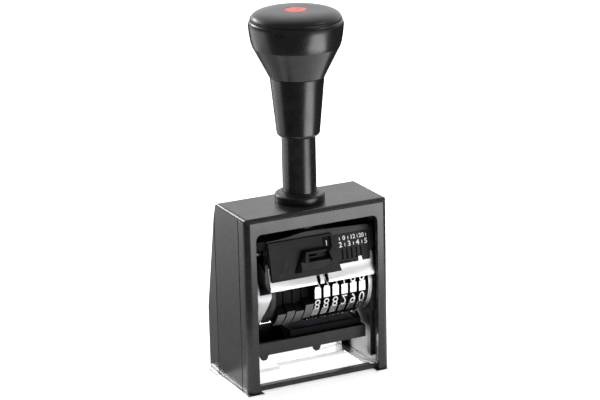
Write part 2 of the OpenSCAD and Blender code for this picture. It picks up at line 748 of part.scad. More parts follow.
module front_bar() {
    left = block_left - bar_t;
    right = block_right + bar_t;
    notch_left = first_wheel_x - 0.3;
    notch_right = notch_left + 5.2;
    tongue_left = notch_left + 1.4;
    tongue_right = tongue_left + 1.9;
    color([0.86, 0.86, 0.88]) difference() {
        union() {
            side_slab(left, right, [
                [-bar_face_d, bar_z], [-bar_face_d, bar_bend_z], [bar_knee_y, bar_knee_z],
                [bar_y(bar_top_z), bar_top_z], [bar_y(bar_top_z) + bar_t, bar_top_z],
                [bar_knee_y + bar_t, bar_knee_z], [-bar_face_d + bar_t, bar_bend_z],
                [-bar_face_d + bar_t, bar_z]]);
            // Ears bent back along both ends, each with a small tip
            for (s = [-1, 1]) {
                x0 = s > 0 ? block_right : block_left - bar_t;
                side_slab(x0, x0 + bar_t, [
                    [-bar_face_d, bar_z], [-bar_face_d, bar_bend_z], [bar_knee_y, bar_knee_z],
                    [bar_y(ear_top), ear_top], [bar_y(ear_top) + 0.8, ear_top],
                    [bar_y(ear_top) + 1.1, ear_tip], [bar_y(ear_top) + 2.4, ear_tip],
                    [bar_y(ear_top) + 2.4, ear_top - 0.6], [deck_front, ear_top - 1.4],
                    [deck_front, bar_z + 1]]);
            }
            // Upright at the right end, in line with the dial
            side_slab(right - ear_w, right, [
                [bar_y(bar_top_z - 0.5), bar_top_z - 0.5], [bar_y(ear_top), ear_top],
                [bar_y(ear_top) + bar_t, ear_top], [bar_y(bar_top_z - 0.5) + bar_t, bar_top_z - 0.5]]);
            // Tab that stands up into the dial's notch
            side_slab(tab_left, tab_left + tab_w, [
                [bar_y(bar_top_z - 0.5), bar_top_z - 0.5], [bar_y(tab_top), tab_top],
                [bar_y(tab_top) + bar_t, tab_top], [bar_y(bar_top_z - 0.5) + bar_t, bar_top_z - 0.5]]);
        }
        // Notch, with a tongue left standing in it
        box(notch_left, tongue_left, -front_d, -5, bar_z - 1, bar_z + 4.6);
        box(tongue_right, notch_right, -front_d, -5, bar_z - 1, bar_z + 4.6);
    }
}

plate_r = wheel_r - 0.3;
plate_low_z = cheek_z - 0.2;
left_plate_x = -cheek_in;
right_plate_x = cheek_in;

// Plate beside the wheels: round in front, cut level below
module side_plate_blank(x0, x1) {
    intersection() {
        x_rod(plate_r, x0, x1);
        box(x0 - 1, x1 + 1, -front_d, axle_y + 9.5, plate_low_z, deck_z);
    }
}

module left_side_plate() {
    plate_t = left_plate_t;
    rim_t = 0.9;
    rim_x = block_left + 0.35;
    color([0.84, 0.84, 0.86]) difference() {
        union() {
            side_plate_blank(left_plate_x, left_plate_x + plate_t);
            // Curved rim that narrows downwards
            intersection() {
                difference() {
                    x_rod(plate_r, left_plate_x, rim_x);
                    x_rod(plate_r - rim_t, left_plate_x - 1, rim_x + 1);
                }
                front_slab(-front_d, 0, [
                    [left_plate_x, plate_low_z + 0.5], [left_plate_x + 2, plate_low_z + 0.5],
                    [left_plate_x + 2.6, axle_z - 6.1], [left_plate_x + 5, axle_z - 1.1],
                    [rim_x, axle_z + 2.1], [rim_x, bar_z - 0.7], [left_plate_x, bar_z - 0.7]]);
            }
        }
        x_rod(axle_r + seat_gap, left_plate_x - 1, left_plate_x + plate_t + 1);
        x_rod(tie_r + seat_gap, left_plate_x - 1, left_plate_x + plate_t + 1, tie_y, tie_z);
    }
}

module right_side_plate() {
    plate_left = rocker_right_x + rocker_t + 0.15;
    color([0.84, 0.84, 0.86]) difference() {
        side_plate_blank(plate_left, right_plate_x);
        x_rod(axle_r + seat_gap, plate_left - 1, right_plate_x + 1);
        for (g = [0.55, 1.2]) {
            difference() {
                x_rod(plate_r + 1, plate_left + g, plate_left + g + 0.25);
                x_rod(plate_r - 0.5, plate_left + g - 0.1, plate_left + g + 0.4);
            }
        }
    }
}

module wheel_axle() {
    color([0.75, 0.75, 0.77]) x_rod(axle_r, -carriage_half_w + 0.2, carriage_half_w - 0.2);
}

module axle_clips() {
    x0 = carriage_half_w - clip_recess;
    color([0.6, 0.6, 0.62]) for (s = [-1, 1]) {
        a = s > 0 ? x0 : -x0 - clip_t;
        difference() {
            x_rod(clip_r, a, a + clip_t);
            x_rod(axle_r + seat_gap, a - 1, a + clip_t + 1);
            box(a - 1, a + clip_t + 1, axle_y - 1, axle_y + 1, axle_z, axle_z + clip_r + 1);
        }
    }
}

module spacer_ring() {
    color([0.2, 0.2, 0.21]) difference() {
        x_rod(wheel_r - 2.7, spacer_left, spacer_right);
        x_rod(axle_r + seat_gap, spacer_left - 1, spacer_right + 1);
    }
}

module tie_rod() {
    color([0.75, 0.75, 0.77]) x_rod(tie_r, -rail_in + 0.4, rail_in - 0.4, tie_y, tie_z);
}

// Leaf springs that rest over the wheels, one for each, on a strip round the tie rod
module detent_comb() {
    comb_left = spacer_right + rim_gap;
    comb_right = wheels_right;
    leaf_w = 2;
    color([0.7, 0.7, 0.72]) difference() {
        union() {
            x_rod(tie_r + 0.5, comb_left, comb_right, tie_y, tie_z);
            for (x = concat([for (i = [0:3]) first_blank_x + i * blank_pitch],
                            [for (i = [0:5]) first_wheel_x + i * wheel_pitch])) {
                side_slab(x - leaf_w / 2, x + leaf_w / 2, [
                    [tie_y - 0.5, tie_z - tie_r - 0.4], [axle_y - 1.2, axle_z + wheel_r + slide_gap + 0.25],
                    [axle_y + 2.2, axle_z + wheel_r + slide_gap + 0.25],
                    [axle_y + 2.2, axle_z + wheel_r + slide_gap + 0.6],
                    [axle_y - 1.2, axle_z + wheel_r + slide_gap + 0.7],
                    [tie_y + 1.2, tie_z]]);
            }
        }
        x_rod(tie_r + seat_gap, comb_left - 1, comb_right + 1, tie_y, tie_z);
    }
}

// ---------------------------------------------------------------- wheels

positions = 10;
step_angle = 360 / positions;

// Block or figure pad number k of a ring, standing out to radius r at the wheel's rim
module rim_block(x0, x1, r, angle, span) {
    half = r * sin(span / 2);
    translate([x0, axle_y, axle_z]) rotate([angle, 0, 0])
        translate([0, -r * cos(span / 2), -half]) cube([x1 - x0, 3, 2 * half]);
}

module number_wheel(index) {
    x = first_wheel_x + index * wheel_pitch;
    x0 = x - wheel_w / 2;
    x1 = x + wheel_w / 2;
    core_r = wheel_r - 1.6;
    color([0.85, 0.85, 0.87]) difference() {
        union() {
            x_rod(core_r, x0, x1);
            for (k = [0:positions - 1]) {
                rim_block(x0, x1, wheel_r, k * step_angle, 0.45 * step_angle);
                rim_block(x0 + 0.15, x1 - 0.15, wheel_r - figure_h, (k + 0.5) * step_angle, 0.52 * step_angle);
            }
            translate([x1, axle_y, axle_z]) rotate([0, 90, 0]) linear_extrude(height = ratchet_t)
                polygon([for (k = [0:positions - 1]) each [
                    [ratchet_r * cos(k * step_angle), ratchet_r * sin(k * step_angle)],
                    [(ratchet_r - 1.8) * cos(k * step_angle + 3), (ratchet_r - 1.8) * sin(k * step_angle + 3)]]]);
        }
        x_rod(axle_r + run_gap, x0 - 1, x1 + ratchet_t + 1);
    }
}

blank_lands = 5;
land_angle = 32;
blank_turn = [6.4, 2.6, 5.4, -4];

module blank_wheel(index) {
    x0 = first_blank_x + index * blank_pitch - blank_w / 2;
    x1 = x0 + blank_w;
    half = 180 / blank_lands - land_angle / 2;
    floor_r = wheel_r - blank_valley;
    floor_half = 3;
    color([0.14, 0.14, 0.145]) difference() {
        x_rod(wheel_r, x0, x1);
        // Flat-floored valleys between the lands
        for (k = [0:blank_lands - 1]) {
            translate([0, axle_y, axle_z]) rotate([blank_turn[index] + k * 360 / blank_lands, 0, 0])
                side_slab(x0 - 1, x1 + 1, [
                    [-floor_r, -floor_half], [-wheel_r * cos(half), -wheel_r * sin(half)],
                    [-wheel_r * cos(half) - 3, -wheel_r * sin(half) - 1.5],
                    [-wheel_r * cos(half) - 3, wheel_r * sin(half) + 1.5],
                    [-wheel_r * cos(half), wheel_r * sin(half)], [-floor_r, floor_half]]);
        }
        x_rod(axle_r + run_gap, x0 - 1, x1 + 1);
    }
}

// ---------------------------------------------------------------- rocker and feed pawl

shaft_orbit = wheel_r + 2.5;
shaft_angle = 70;
shaft_y = axle_y + shaft_orbit * cos(shaft_angle);
shaft_z = axle_z + shaft_orbit * sin(shaft_angle);
shaft_r = 1.1;
rocker_hub_r = 5;
rocker_end_r = 2.2;

module rocker_arm(x0) {
    x1 = x0 + rocker_t;
    difference() {
        translate([0, axle_y, axle_z]) rotate([shaft_angle, 0, 0]) side_slab(x0, x1, concat(
            arc(0, 0, rocker_hub_r, 81, 279, 20), arc(shaft_orbit, 0, rocker_end_r, -81, 81, 12)));
        x_rod(axle_r + run_gap, x0 - 1, x1 + 1);
        x_rod(shaft_r + seat_gap, x0 - 1, x1 + 1, shaft_y, shaft_z);
    }
}

module rocker_frame() {
    color([0.72, 0.72, 0.74]) union() {
        rocker_arm(rocker_left_x);
        rocker_arm(rocker_right_x);
        // Strip that joins both arms behind the pawl
        translate([0, axle_y, axle_z]) rotate([shaft_angle, 0, 0])
            box(rocker_left_x + 0.2, rocker_right_x + rocker_t - 0.2, wheel_r + 0.5, wheel_r + 1.1, -3.4, -1.3);
    }
}

module pawl_shaft() {
    color([0.78, 0.78, 0.8]) x_rod(shaft_r, rocker_left_x, rocker_right_x + rocker_t, shaft_y, shaft_z);
}

pawl_left = first_wheel_x + wheel_w / 2 + 0.1;
pawl_right = rocker_right_x - 0.15;

// Fingers that reach between the wheels to their ratchets
module feed_pawl() {
    finger_t = 0.5;
    finger_w = 1.6;
    tip = ratchet_r + slide_gap;
    color([0.8, 0.8, 0.82]) difference() {
        union() {
            x_rod(shaft_r + 0.6, pawl_left, pawl_right, shaft_y, shaft_z);
            for (i = [0:5]) {
                x = first_wheel_x + i * wheel_pitch + wheel_w / 2 + 0.45;
                translate([0, axle_y, axle_z]) rotate([shaft_angle, 0, 0])
                    box(x - finger_t / 2, x + finger_t / 2, tip, shaft_orbit - shaft_r, -finger_w / 2, finger_w / 2);
            }
        }
        x_rod(shaft_r + run_gap, pawl_left - 1, pawl_right + 2, shaft_y, shaft_z);
    }
}

module pawl_spring() {
    color([0.6, 0.6, 0.62]) difference() {
        x_rod(shaft_r + 0.55, pawl_left - 6, pawl_left - 0.3, shaft_y, shaft_z);
        x_rod(shaft_r + seat_gap, pawl_left - 7, pawl_left, shaft_y, shaft_z);
    }
}

// ---------------------------------------------------------------- pad carrier

tray_half_w = cheek_in - 0.3;
tray_back = axle_y + 6.1;
tray_front = tray_back - tray_d;
pad_top = wheel_low_z - pad_gap;
pad_z = pad_top - pad_h;
tray_floor_z = pad_z - tray_floor_t;
tray_z = tray_floor_z - 0.8;
holder_left = first_wheel_x - 9.4;
holder_front = tray_front + 2;
holder_wall = 1.2;
lug_back = tray_back - 1.1;
lug_front = tray_back - 7.1;

module tray_tab(x) {
    front_slab(tray_front + 0.2, tray_front + 1.6, [
        [x - 2, tray_z + 0.2], [x + 2, tray_z + 0.2], [x + 1.5, tray_z - 1.6],
        [x + 0.8, tray_z - 2.2], [x - 0.8, tray_z - 2.2], [x - 1.5, tray_z - 1.6]]);
}

module pad_tray() {
    color([0.09, 0.09, 0.095]) union() {
        box(-tray_half_w, tray_half_w, tray_front, tray_front + 1.8, tray_z, tray_z + tray_bar_h);
        box(-tray_half_w, tray_half_w, tray_front + 1, tray_back, tray_floor_z, tray_floor_z + tray_floor_t);
        for (s = [-1, 1]) {
            x0 = s > 0 ? tray_half_w - 1.5 : -tray_half_w;
            box(x0, x0 + 1.5, tray_front + 1, tray_back, tray_floor_z, tray_z + tray_bar_h);
        }
        // Back wall beside the holder
        box(-tray_half_w + 1.2, holder_left - 0.15, tray_back - 1.4, tray_back - 0.2,
            tray_floor_z + 0.3, pad_top - 0.8);
        tray_tab(-21.5);
        tray_tab(3.2);
        for (s = [-1, 1]) {
            x0 = s > 0 ? tray_half_w - 0.5 : -arm_in;
            box(x0, x0 + arm_in - tray_half_w + 0.5, lug_front, lug_back, tray_floor_z, tray_z + tray_bar_h);
        }
    }
}

module pad_arm(side) {
    x0 = side > 0 ? arm_in : -arm_in - arm_t;
    hub_x0 = side > 0 ? arm_in : -inner_half_w + slide_gap;
    color([0.11, 0.11, 0.115]) difference() {
        union() {
            side_slab(x0, x0 + arm_t, [
                [lug_front - 0.5, tray_floor_z], [lug_front - 0.5, tray_z + tray_bar_h],
                [lug_front + 4, tray_z + tray_bar_h + 3.3], [tray_back + 0.3, tray_z + tray_bar_h + 5.4],
                [pad_pivot_y - arm_hub_r + 0.4, pad_pivot_z + 1.2],
                [pad_pivot_y + arm_hub_r - 0.4, pad_pivot_z - 1.2],
                [tray_back + 3.8, tray_z + tray_bar_h + 1.5], [tray_back, tray_floor_z]]);
            x_rod(arm_hub_r, hub_x0, hub_x0 + inner_half_w - slide_gap - arm_in, pad_pivot_y, pad_pivot_z);
        }
        x_rod(pin_r + run_gap, -half_w, half_w, pad_pivot_y, pad_pivot_z);
    }
}

module pad_holder() {
    color([0.1, 0.1, 0.105]) difference() {
        box(holder_left, tray_half_w - 1.6, holder_front, tray_back, pad_z, pad_top - 0.8);
        box(holder_left + holder_wall, tray_half_w - 1.6 - holder_wall, holder_front + holder_wall,
            tray_back - holder_wall, pad_z - 1, pad_top);
    }
}

module ink_pad() {
    margin = 0.1;
    color([0.12, 0.1, 0.14])
        box(holder_left + holder_wall + margin, tray_half_w - 1.6 - holder_wall - margin,
            holder_front + holder_wall + margin, tray_back - holder_wall - margin, pad_z, pad_top);
}

// ---------------------------------------------------------------- selector slide

slide_left = block_left + 0.25;
slide_right = slide_left + slide_w;
tongue_x = slide_left + 1.5;
tongue_w = 8;
tongue_z = slide_z + 5.6;
tongue_h = 1.6;
tongue_d = 2;

module selector_slide() {
    y_front = slide_back_d + slide_t;
    color([0.13, 0.13, 0.135]) difference() {
        union() {
            intersection() {
                front_slab(-inner_front - 1, 0, [
                    [slide_left, slide_z], [slide_right - 0.2, slide_z], [slide_right, slide_z + 0.3],
                    [slide_right - 2.1, slide_z + 8.8], [slide_right - 2.2, slide_top_z - 1.5],
                    [slide_right - 3, slide_top_z], [slide_left, slide_top_z]]);
                side_slab(-half_w, half_w, [
                    [lean_y(y_front, lean_low), lean_low], [lean_y(y_front, lean_high), lean_high],
                    [lean_y(slide_back_d, lean_high), lean_high], [lean_y(slide_back_d, lean_low), lean_low]]);
            }
            thumb_grip();
            // Tongue that runs in the carriage's track
            box(tongue_x, tongue_x + tongue_w, lean_y(slide_back_d, tongue_z) - 0.4,
                lean_y(dial_d, tongue_z) + tongue_d, tongue_z, tongue_z + tongue_h);
        }
        // Window for the chosen figure
        box(slide_right - 7.4, slide_right - 3.5, -front_d, 0, slide_top_z - 6, slide_top_z - 1.1);
        grip_pocket();
    }
}

// Places what is drawn upright from height 0 on the slide's leaning face, at a depth into it
module on_slide(depth) {
    z0 = slide_z;
    multmatrix([[1, 0, 0, slide_left + 20], [0, 1, lean_tan, lean_y(slide_back_d + depth, z0)],
                [0, 0, 1, z0], [0, 0, 0, 1]]) children();
}

// Grip: a flared block that stands out of the slide
module thumb_grip() {
    module outline(y_back, points) {
        translate([0, y_back, 0]) rotate([90, 0, 0]) linear_extrude(height = 0.1) polygon(points);
    }
    on_slide(slide_t / 2) hull() {
        outline(0, [[-9.6, 2.2], [5.6, 2.2], [9.3, 6.2], [8.0, 11.2], [-4.8, 11.2]]);
        outline(-grip_h - slide_t / 2 + 0.1, [[-5.9, 3.2], [4.4, 3.2], [8.1, 7.2], [7.1, 11], [-4.5, 11]]);
    }
}

// Dark pocket in the grip, with a sloping thumb rest below it
module grip_pocket() {
    on_slide(slide_t) {
        difference() {
            front_slab(-grip_h - 1, 0, [[-3.4, 7], [6.9, 7], [6.1, 10.1], [-3.4, 10.1]]);
            box(-4, 1.5, -grip_h + 0.9, 0, 8.3, 8.8);
        }
        side_slab(-6.6, 7.4, [[-grip_h - 0.3, 6.8], [-grip_h - 0.3, 1.6], [-0.2, 1.6], [-0.2, 3], [-1.4, 6.8]]);
    }
}

place() housing();
place() front_cover();
place() base_plate();
place() base_screws();
place() guide_tube();
place() collar_nut();
place() guide_rail(-1);  // left_guide_rail
place() guide_rail(1);  // right_guide_rail
place() pad_pivot_pins();
place() knob();
place() knob_cap();
place() knob_disc();
place() handle_sleeve();
place() plunger_rod();
place() rod_nut();
place() return_spring();
place() carriage_frame();
place() dial_plate();
place() front_bar();
place() left_side_plate();
place() right_side_plate();
place() wheel_axle();
place() axle_clips();
place() spacer_ring();
place() tie_rod();
place() detent_comb();
place() number_wheel(0);  // number_wheel_1
place() number_wheel(1);  // number_wheel_2
place() number_wheel(2);  // number_wheel_3
place() number_wheel(3);  // number_wheel_4
place() number_wheel(4);  // number_wheel_5
place() number_wheel(5);  // number_wheel_6
place() blank_wheel(0);  // blank_wheel_1
place() blank_wheel(1);  // blank_wheel_2
place() blank_wheel(2);  // blank_wheel_3
place() blank_wheel(3);  // blank_wheel_4
place() rocker_frame();
place() pawl_shaft();
place() feed_pawl();
place() pawl_spring();
place() pad_tray();
place() pad_arm(-1);  // left_pad_arm
place() pad_arm(1);  // right_pad_arm
place() pad_holder();
place() ink_pad();
place() selector_slide();
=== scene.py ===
# %% [markdown]
# # A numbering machine, dressed for its portrait
#
# The machine is a black housing on a bright steel base, a handle with a round knob, and a carriage
# of number wheels behind a front window. Its shapes and joints come ready made from the CAD model.
# This script gives each piece its finish, rebuilds the glossy ones with finer curves and softened
# edges, and adds what is too fine for the solids, such as the type on the wheels.

# %% Load the frame and keep its box
import json
import math

import bmesh
import bpy
from mathutils import Matrix, Vector
from mathutils.bvhtree import BVHTree


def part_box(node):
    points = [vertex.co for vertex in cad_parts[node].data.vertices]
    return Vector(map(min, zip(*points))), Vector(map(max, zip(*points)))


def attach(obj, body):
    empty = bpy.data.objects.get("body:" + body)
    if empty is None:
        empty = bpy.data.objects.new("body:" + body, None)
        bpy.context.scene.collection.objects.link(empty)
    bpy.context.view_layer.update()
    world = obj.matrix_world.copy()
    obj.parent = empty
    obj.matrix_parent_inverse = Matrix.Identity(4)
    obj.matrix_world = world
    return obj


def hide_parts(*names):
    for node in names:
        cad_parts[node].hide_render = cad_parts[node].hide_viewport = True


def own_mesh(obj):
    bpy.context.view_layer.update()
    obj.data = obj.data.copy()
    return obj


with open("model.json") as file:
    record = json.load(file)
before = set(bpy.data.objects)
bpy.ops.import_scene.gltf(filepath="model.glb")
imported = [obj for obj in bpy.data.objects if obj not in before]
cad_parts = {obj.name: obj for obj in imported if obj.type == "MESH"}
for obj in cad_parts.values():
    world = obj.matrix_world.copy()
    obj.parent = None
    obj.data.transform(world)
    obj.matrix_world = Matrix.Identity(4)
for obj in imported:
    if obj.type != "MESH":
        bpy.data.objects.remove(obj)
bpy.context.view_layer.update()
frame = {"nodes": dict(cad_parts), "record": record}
MM = 0.001
BOX_SHIFT = 3.32             # the handle's axis lies this far in front of the box's middle, in mm
AXIS_Y = -BOX_SHIFT * MM
TINY = 1e-6                  # shorter than this is no length, in metres or in mm
BODY_OF = {n: b for b, nodes in frame["record"]["behaviour"]["bodies"].items() for n in nodes}
SLOT_OF = {s["node"]: s["material_slot"] for s in frame["record"]["subparts"]}

# %% [markdown]
# ## Ways to make a finish
#
# Every finish below is one Principled shader whose roughness and bump come from noise in the
# object's own coordinates, in metres. A few helpers wire that up: one starts a finish, one reads
# noise at a given grain size, one turns noise into roughness and one into bump.


# %% Helpers for finishes
def finish(name, colour, roughness, metallic=0.0, **sockets):
    """A new Principled material; further sockets are named with _ for a space."""
    material = bpy.data.materials.new(name)
    material.use_nodes = True
    shader = material.node_tree.nodes["Principled BSDF"]
    shader.inputs["Base Color"].default_value = (*colour, 1)
    shader.inputs["Roughness"].default_value = roughness
    shader.inputs["Metallic"].default_value = metallic
    for socket, value in sockets.items():
        shader.inputs[socket.replace("_", " ")].default_value = value
    return material


def grain(material, size_mm, detail=2.0, stretch=(1, 1, 1), distortion=0.0):
    """Noise whose features are about size_mm across; a small stretch draws them out."""
    nodes, links = material.node_tree.nodes, material.node_tree.links
    place = nodes.new("ShaderNodeTexCoord")
    mapping = nodes.new("ShaderNodeMapping")
    mapping.inputs["Scale"].default_value = stretch
    noise = nodes.new("ShaderNodeTexNoise")
    noise.inputs["Scale"].default_value = 1 / (size_mm * MM)
    noise.inputs["Detail"].default_value = detail
    noise.inputs["Distortion"].default_value = distortion
    links.new(place.outputs["Object"], mapping.inputs["Vector"])
    links.new(mapping.outputs["Vector"], noise.inputs["Vector"])
    return noise.outputs["Fac"]


def between(material, value, low, high, source=(0.3, 0.7)):
    """Carries a noise value from its source range to low..high."""
    spread = material.node_tree.nodes.new("ShaderNodeMapRange")
    for name, number in zip(("From Min", "From Max", "To Min", "To Max"), (*source, low, high)):
        spread.inputs[name].default_value = number
    material.node_tree.links.new(value, spread.inputs["Value"])
    return spread.outputs["Result"]


def rough(material, value):
    """Feeds a value to the shader's roughness."""
    shader = material.node_tree.nodes["Principled BSDF"]
    material.node_tree.links.new(value, shader.inputs["Roughness"])


def bumped(material, *heights):
    """Adds (value, strength, depth in mm) bumps one on another, the coarsest first."""
    nodes, links = material.node_tree.nodes, material.node_tree.links
    below = None
    for value, strength, depth in heights:
        bump = nodes.new("ShaderNodeBump")
        bump.inputs["Strength"].default_value = strength
        bump.inputs["Distance"].default_value = depth * MM
        links.new(value, bump.inputs["Height"])
        if below:
            links.new(below, bump.inputs["Normal"])
        below = bump.outputs["Normal"]
    links.new(below, nodes["Principled BSDF"].inputs["Normal"])


def tinted(material, value, dark, light):
    """Blends two colours by a noise value into the base colour."""
    nodes, links = material.node_tree.nodes, material.node_tree.links
    ramp = nodes.new("ShaderNodeValToRGB")
    ramp.color_ramp.elements[0].position, ramp.color_ramp.elements[0].color = 0.3, (*dark, 1)
    ramp.color_ramp.elements[1].position, ramp.color_ramp.elements[1].color = 0.7, (*light, 1)
    links.new(value, ramp.inputs["Fac"])
    links.new(ramp.outputs["Color"], nodes["Principled BSDF"].inputs["Base Color"])


# %% [markdown]
# ## The camera
#
# A catalogue picture of a small machine is taken from far away with a long lens, so that upright
# edges stay nearly parallel. The place of the camera was worked out from the housing's edges in the
# photograph. A long lens with no shift gives the same framing here.

# %% Place the camera
CAMERA_AT = Vector((-0.44085, -0.89749, 0.38297))
CAMERA_TO = Vector((0.00005, -0.00332, 0.07673))
CAMERA_ROLL = math.radians(-1.322)
FOCAL_MM, FILM_MM = 149.78, 36
ahead = (CAMERA_TO - CAMERA_AT).normalized()
level = ahead.cross(Vector((0, 0, 1))).normalized()
above = level.cross(ahead)
side = math.cos(CAMERA_ROLL) * level + math.sin(CAMERA_ROLL) * above
top = -math.sin(CAMERA_ROLL) * level + math.cos(CAMERA_ROLL) * above
turn = Matrix((side, top, -ahead)).transposed().to_4x4()
lens = bpy.data.cameras.new("portrait_camera")
lens.lens, lens.sensor_width = FOCAL_MM, FILM_MM
camera = bpy.data.objects.new("portrait_camera", lens)
camera.matrix_world = Matrix.Translation(CAMERA_AT) @ turn
bpy.context.collection.objects.link(camera)
bpy.context.scene.camera = camera
print("camera", round((CAMERA_TO - CAMERA_AT).length, 3), "m from its target")

# %% [markdown]
# ## Floor, sky and soft lights
#
# Glossy black has almost no colour of its own: it shows what stands round it. So the picture is
# made by large pale surfaces. The floor and the sky behind are white, the sky in front is dark,
# which keeps the handle black, and a low soft card at the front right gives the grey sheen on the
# housing's face. Flat flags that only reflections see take the floor's white out of the sides.

# %% Floor
FLOOR_HALF = 4.0
floor_mesh = bpy.data.meshes.new("studio_floor")
floor_mesh.from_pydata([(-FLOOR_HALF, -FLOOR_HALF, 0), (FLOOR_HALF, -FLOOR_HALF, 0),
                        (FLOOR_HALF, FLOOR_HALF, 0), (-FLOOR_HALF, FLOOR_HALF, 0)], [], [(0, 1, 2, 3)])
floor = bpy.data.objects.new("studio_floor", floor_mesh)
bpy.context.collection.objects.link(floor)
paper = finish("pale_paper", (0.93, 0.93, 0.93), 0.85, Specular_IOR_Level=0.1,
               Emission_Color=(1, 1, 1, 1), Emission_Strength=0.6)
floor_mesh.materials.append(paper)
print("floor", 2 * FLOOR_HALF, "m wide")

# %% Sky, bright behind the machine and dim before it
SKY_BACK, SKY_FRONT = 1.35, 0.14
SKY_TOWARDS = (0.423, 0.857, 0.294)      # the way the bright half of the sky lies
FADE_START, FADE_END = 0.1, 0.9          # cosines from that way between which the sky brightens
world = bpy.data.worlds.new("studio_sky")
bpy.context.scene.world = world
world.use_nodes = True
sky = world.node_tree
towards = sky.nodes.new("ShaderNodeTexCoord")
away = sky.nodes.new("ShaderNodeVectorMath")
away.operation = "DOT_PRODUCT"
away.inputs[1].default_value = SKY_TOWARDS
fall = sky.nodes.new("ShaderNodeMapRange")
fall.interpolation_type = "SMOOTHSTEP"
for name, value in (("From Min", FADE_START), ("From Max", FADE_END),
                    ("To Min", SKY_FRONT), ("To Max", SKY_BACK)):
    fall.inputs[name].default_value = value
sky.links.new(towards.outputs["Generated"], away.inputs[0])
sky.links.new(away.outputs["Value"], fall.inputs["Value"])
sky.links.new(fall.outputs["Result"], sky.nodes["Background"].inputs["Strength"])
sky.nodes["Background"].inputs["Color"].default_value = (1, 1, 1, 1)
bpy.context.scene.view_settings.view_transform = "Standard"
print("sky strength from", SKY_FRONT, "to", SKY_BACK)


# %% Soft boxes
def soft_box(name, at, to, size, radiance, along=(0, 0, 1), mirrored=True):
    """A rectangular light at one point that looks at another; size is (across, along), in metres."""
    light = bpy.data.lights.new(name, "AREA")
    light.shape = "RECTANGLE"
    light.size, light.size_y = size
    light.energy = radiance * math.pi * size[0] * size[1]
    back = (Vector(at) - Vector(to)).normalized()
    across = Vector(along).cross(back).normalized()
    up = back.cross(across)
    box = bpy.data.objects.new(name, light)
    box.matrix_world = Matrix.Translation(Vector(at)) @ Matrix((across, up, back)).transposed().to_4x4()
    box.visible_camera = False
    box.visible_glossy = mirrored
    bpy.context.collection.objects.link(box)
    print(name, "needs", round(light.energy, 2), "W")


soft_box("overhead_box", (0.1, 0.3, 1.8), (0.1, 0.3, 0.0), (2.6, 2.6), 1.15, along=(0, 1, 0),
         mirrored=False)
soft_box("rim_box", (-0.42, 1.2, 0.62), (0, 0, 0.08), (0.45, 0.3), 16)
soft_box("low_card", (0.19, -0.34, 0.006), (0.19, -0.34, 1.0), (0.2, 0.44), 6.0,
         along=(0.467, -0.885, 0))
soft_box("knob_card", (0.6, -0.4, 0.82), (0, 0, 0.15), (0.3, 0.16), 5.0)
soft_box("left_rim_card", (-0.78, 0.78, 0.6), (0, 0, 0.15), (0.5, 0.2), 4.0)
soft_box("plate_card", (0.4, -0.78, 0.2), (0, 0, 0.06), (0.6, 0.24), 1.1)


# %% Black and grey flags
FLAG_LIFT = 0.0004                       # under the base's flange, so that they don't cover it
FLAG_STEP = 5                            # degrees
DARK_AT, PALE_AT = 0.1, 0.27             # distances from the origin between which the grey flag pales
flag_black = finish("flag_black", (0.01, 0.01, 0.01), 1.0, Specular_IOR_Level=0.0)
flag_grey = finish("flag_graded", (0.8, 0.8, 0.8), 1.0, Specular_IOR_Level=0.0)
tree = flag_grey.node_tree
place = tree.nodes.new("ShaderNodeTexCoord")
distance = tree.nodes.new("ShaderNodeVectorMath")
distance.operation = "LENGTH"
tree.links.new(place.outputs["Object"], distance.inputs[0])
tree.links.new(between(flag_grey, distance.outputs["Value"], 0.42, 0.8, source=(DARK_AT, PALE_AT)),
               tree.nodes["Principled BSDF"].inputs["Base Color"])


def flag(name, start, end, inner, outer, tone):
    """A sheet over the floor, seen by reflections only, between two angles leftwards from behind."""
    behind = math.atan2(ahead.y, ahead.x)
    steps = max(2, int((end - start) / FLAG_STEP))
    corners, faces = [], []
    for k in range(steps + 1):
        a = behind + math.radians(start + (end - start) * k / steps)
        for r in (inner, outer):
            corners.append((r * math.cos(a), r * math.sin(a), FLAG_LIFT))
    for k in range(steps):
        faces.append((2 * k, 2 * k + 1, 2 * k + 3, 2 * k + 2))
    sheet = bpy.data.meshes.new(name)
    sheet.from_pydata(corners, [], faces)
    sheet.materials.append(tone)
    flag_piece = bpy.data.objects.new(name, sheet)
    bpy.context.collection.objects.link(flag_piece)
    flag_piece.visible_camera = flag_piece.visible_diffuse = False
    flag_piece.visible_shadow = flag_piece.visible_transmission = False
    print(name, "from", start, "to", end, "degrees")


flag("flag_beside", 25, 100, 0.035, 0.28, flag_grey)
flag("flag_left_back", 13, 38, 0.16, 3.5, flag_black)
flag("flag_right_back", -100, -13, 0.16, 3.5, flag_black)
flag("flag_front", 104, 215, 0.11, 3.5, flag_black)

# %% [markdown]
# ## Black finishes
#
# The housing is moulded gloss black, with faint orange peel and a little haze in its gloss. The
# handle is the same in a deeper black. The carriage and its dial are matt, with a fine moulded grain.


# %% Black plastics and paints
def black_finish(name, tone, gloss, peel_mm=3.0, peel=0.02, specular=0.4, grain_mm=0.25, coarse=0.0):
    """Black with haze in its gloss, gentle orange peel and, where it is matt, a moulded grain."""
    black = finish(name, (tone, tone, tone * 1.06), sum(gloss) / 2, Specular_IOR_Level=specular)
    haze = grain(black, 9.0, detail=5.0)
    rough(black, between(black, haze, *gloss))
    tinted(black, grain(black, 4.0, detail=6.0), (tone * 0.8,) * 3, (tone * 1.3, tone * 1.3, tone * 1.36))
    layers = [(grain(black, peel_mm, detail=1.0), peel, 0.02)]
    if coarse:
        layers.append((grain(black, grain_mm, detail=3.0), coarse, 0.03))
    bumped(black, *layers)
    return black


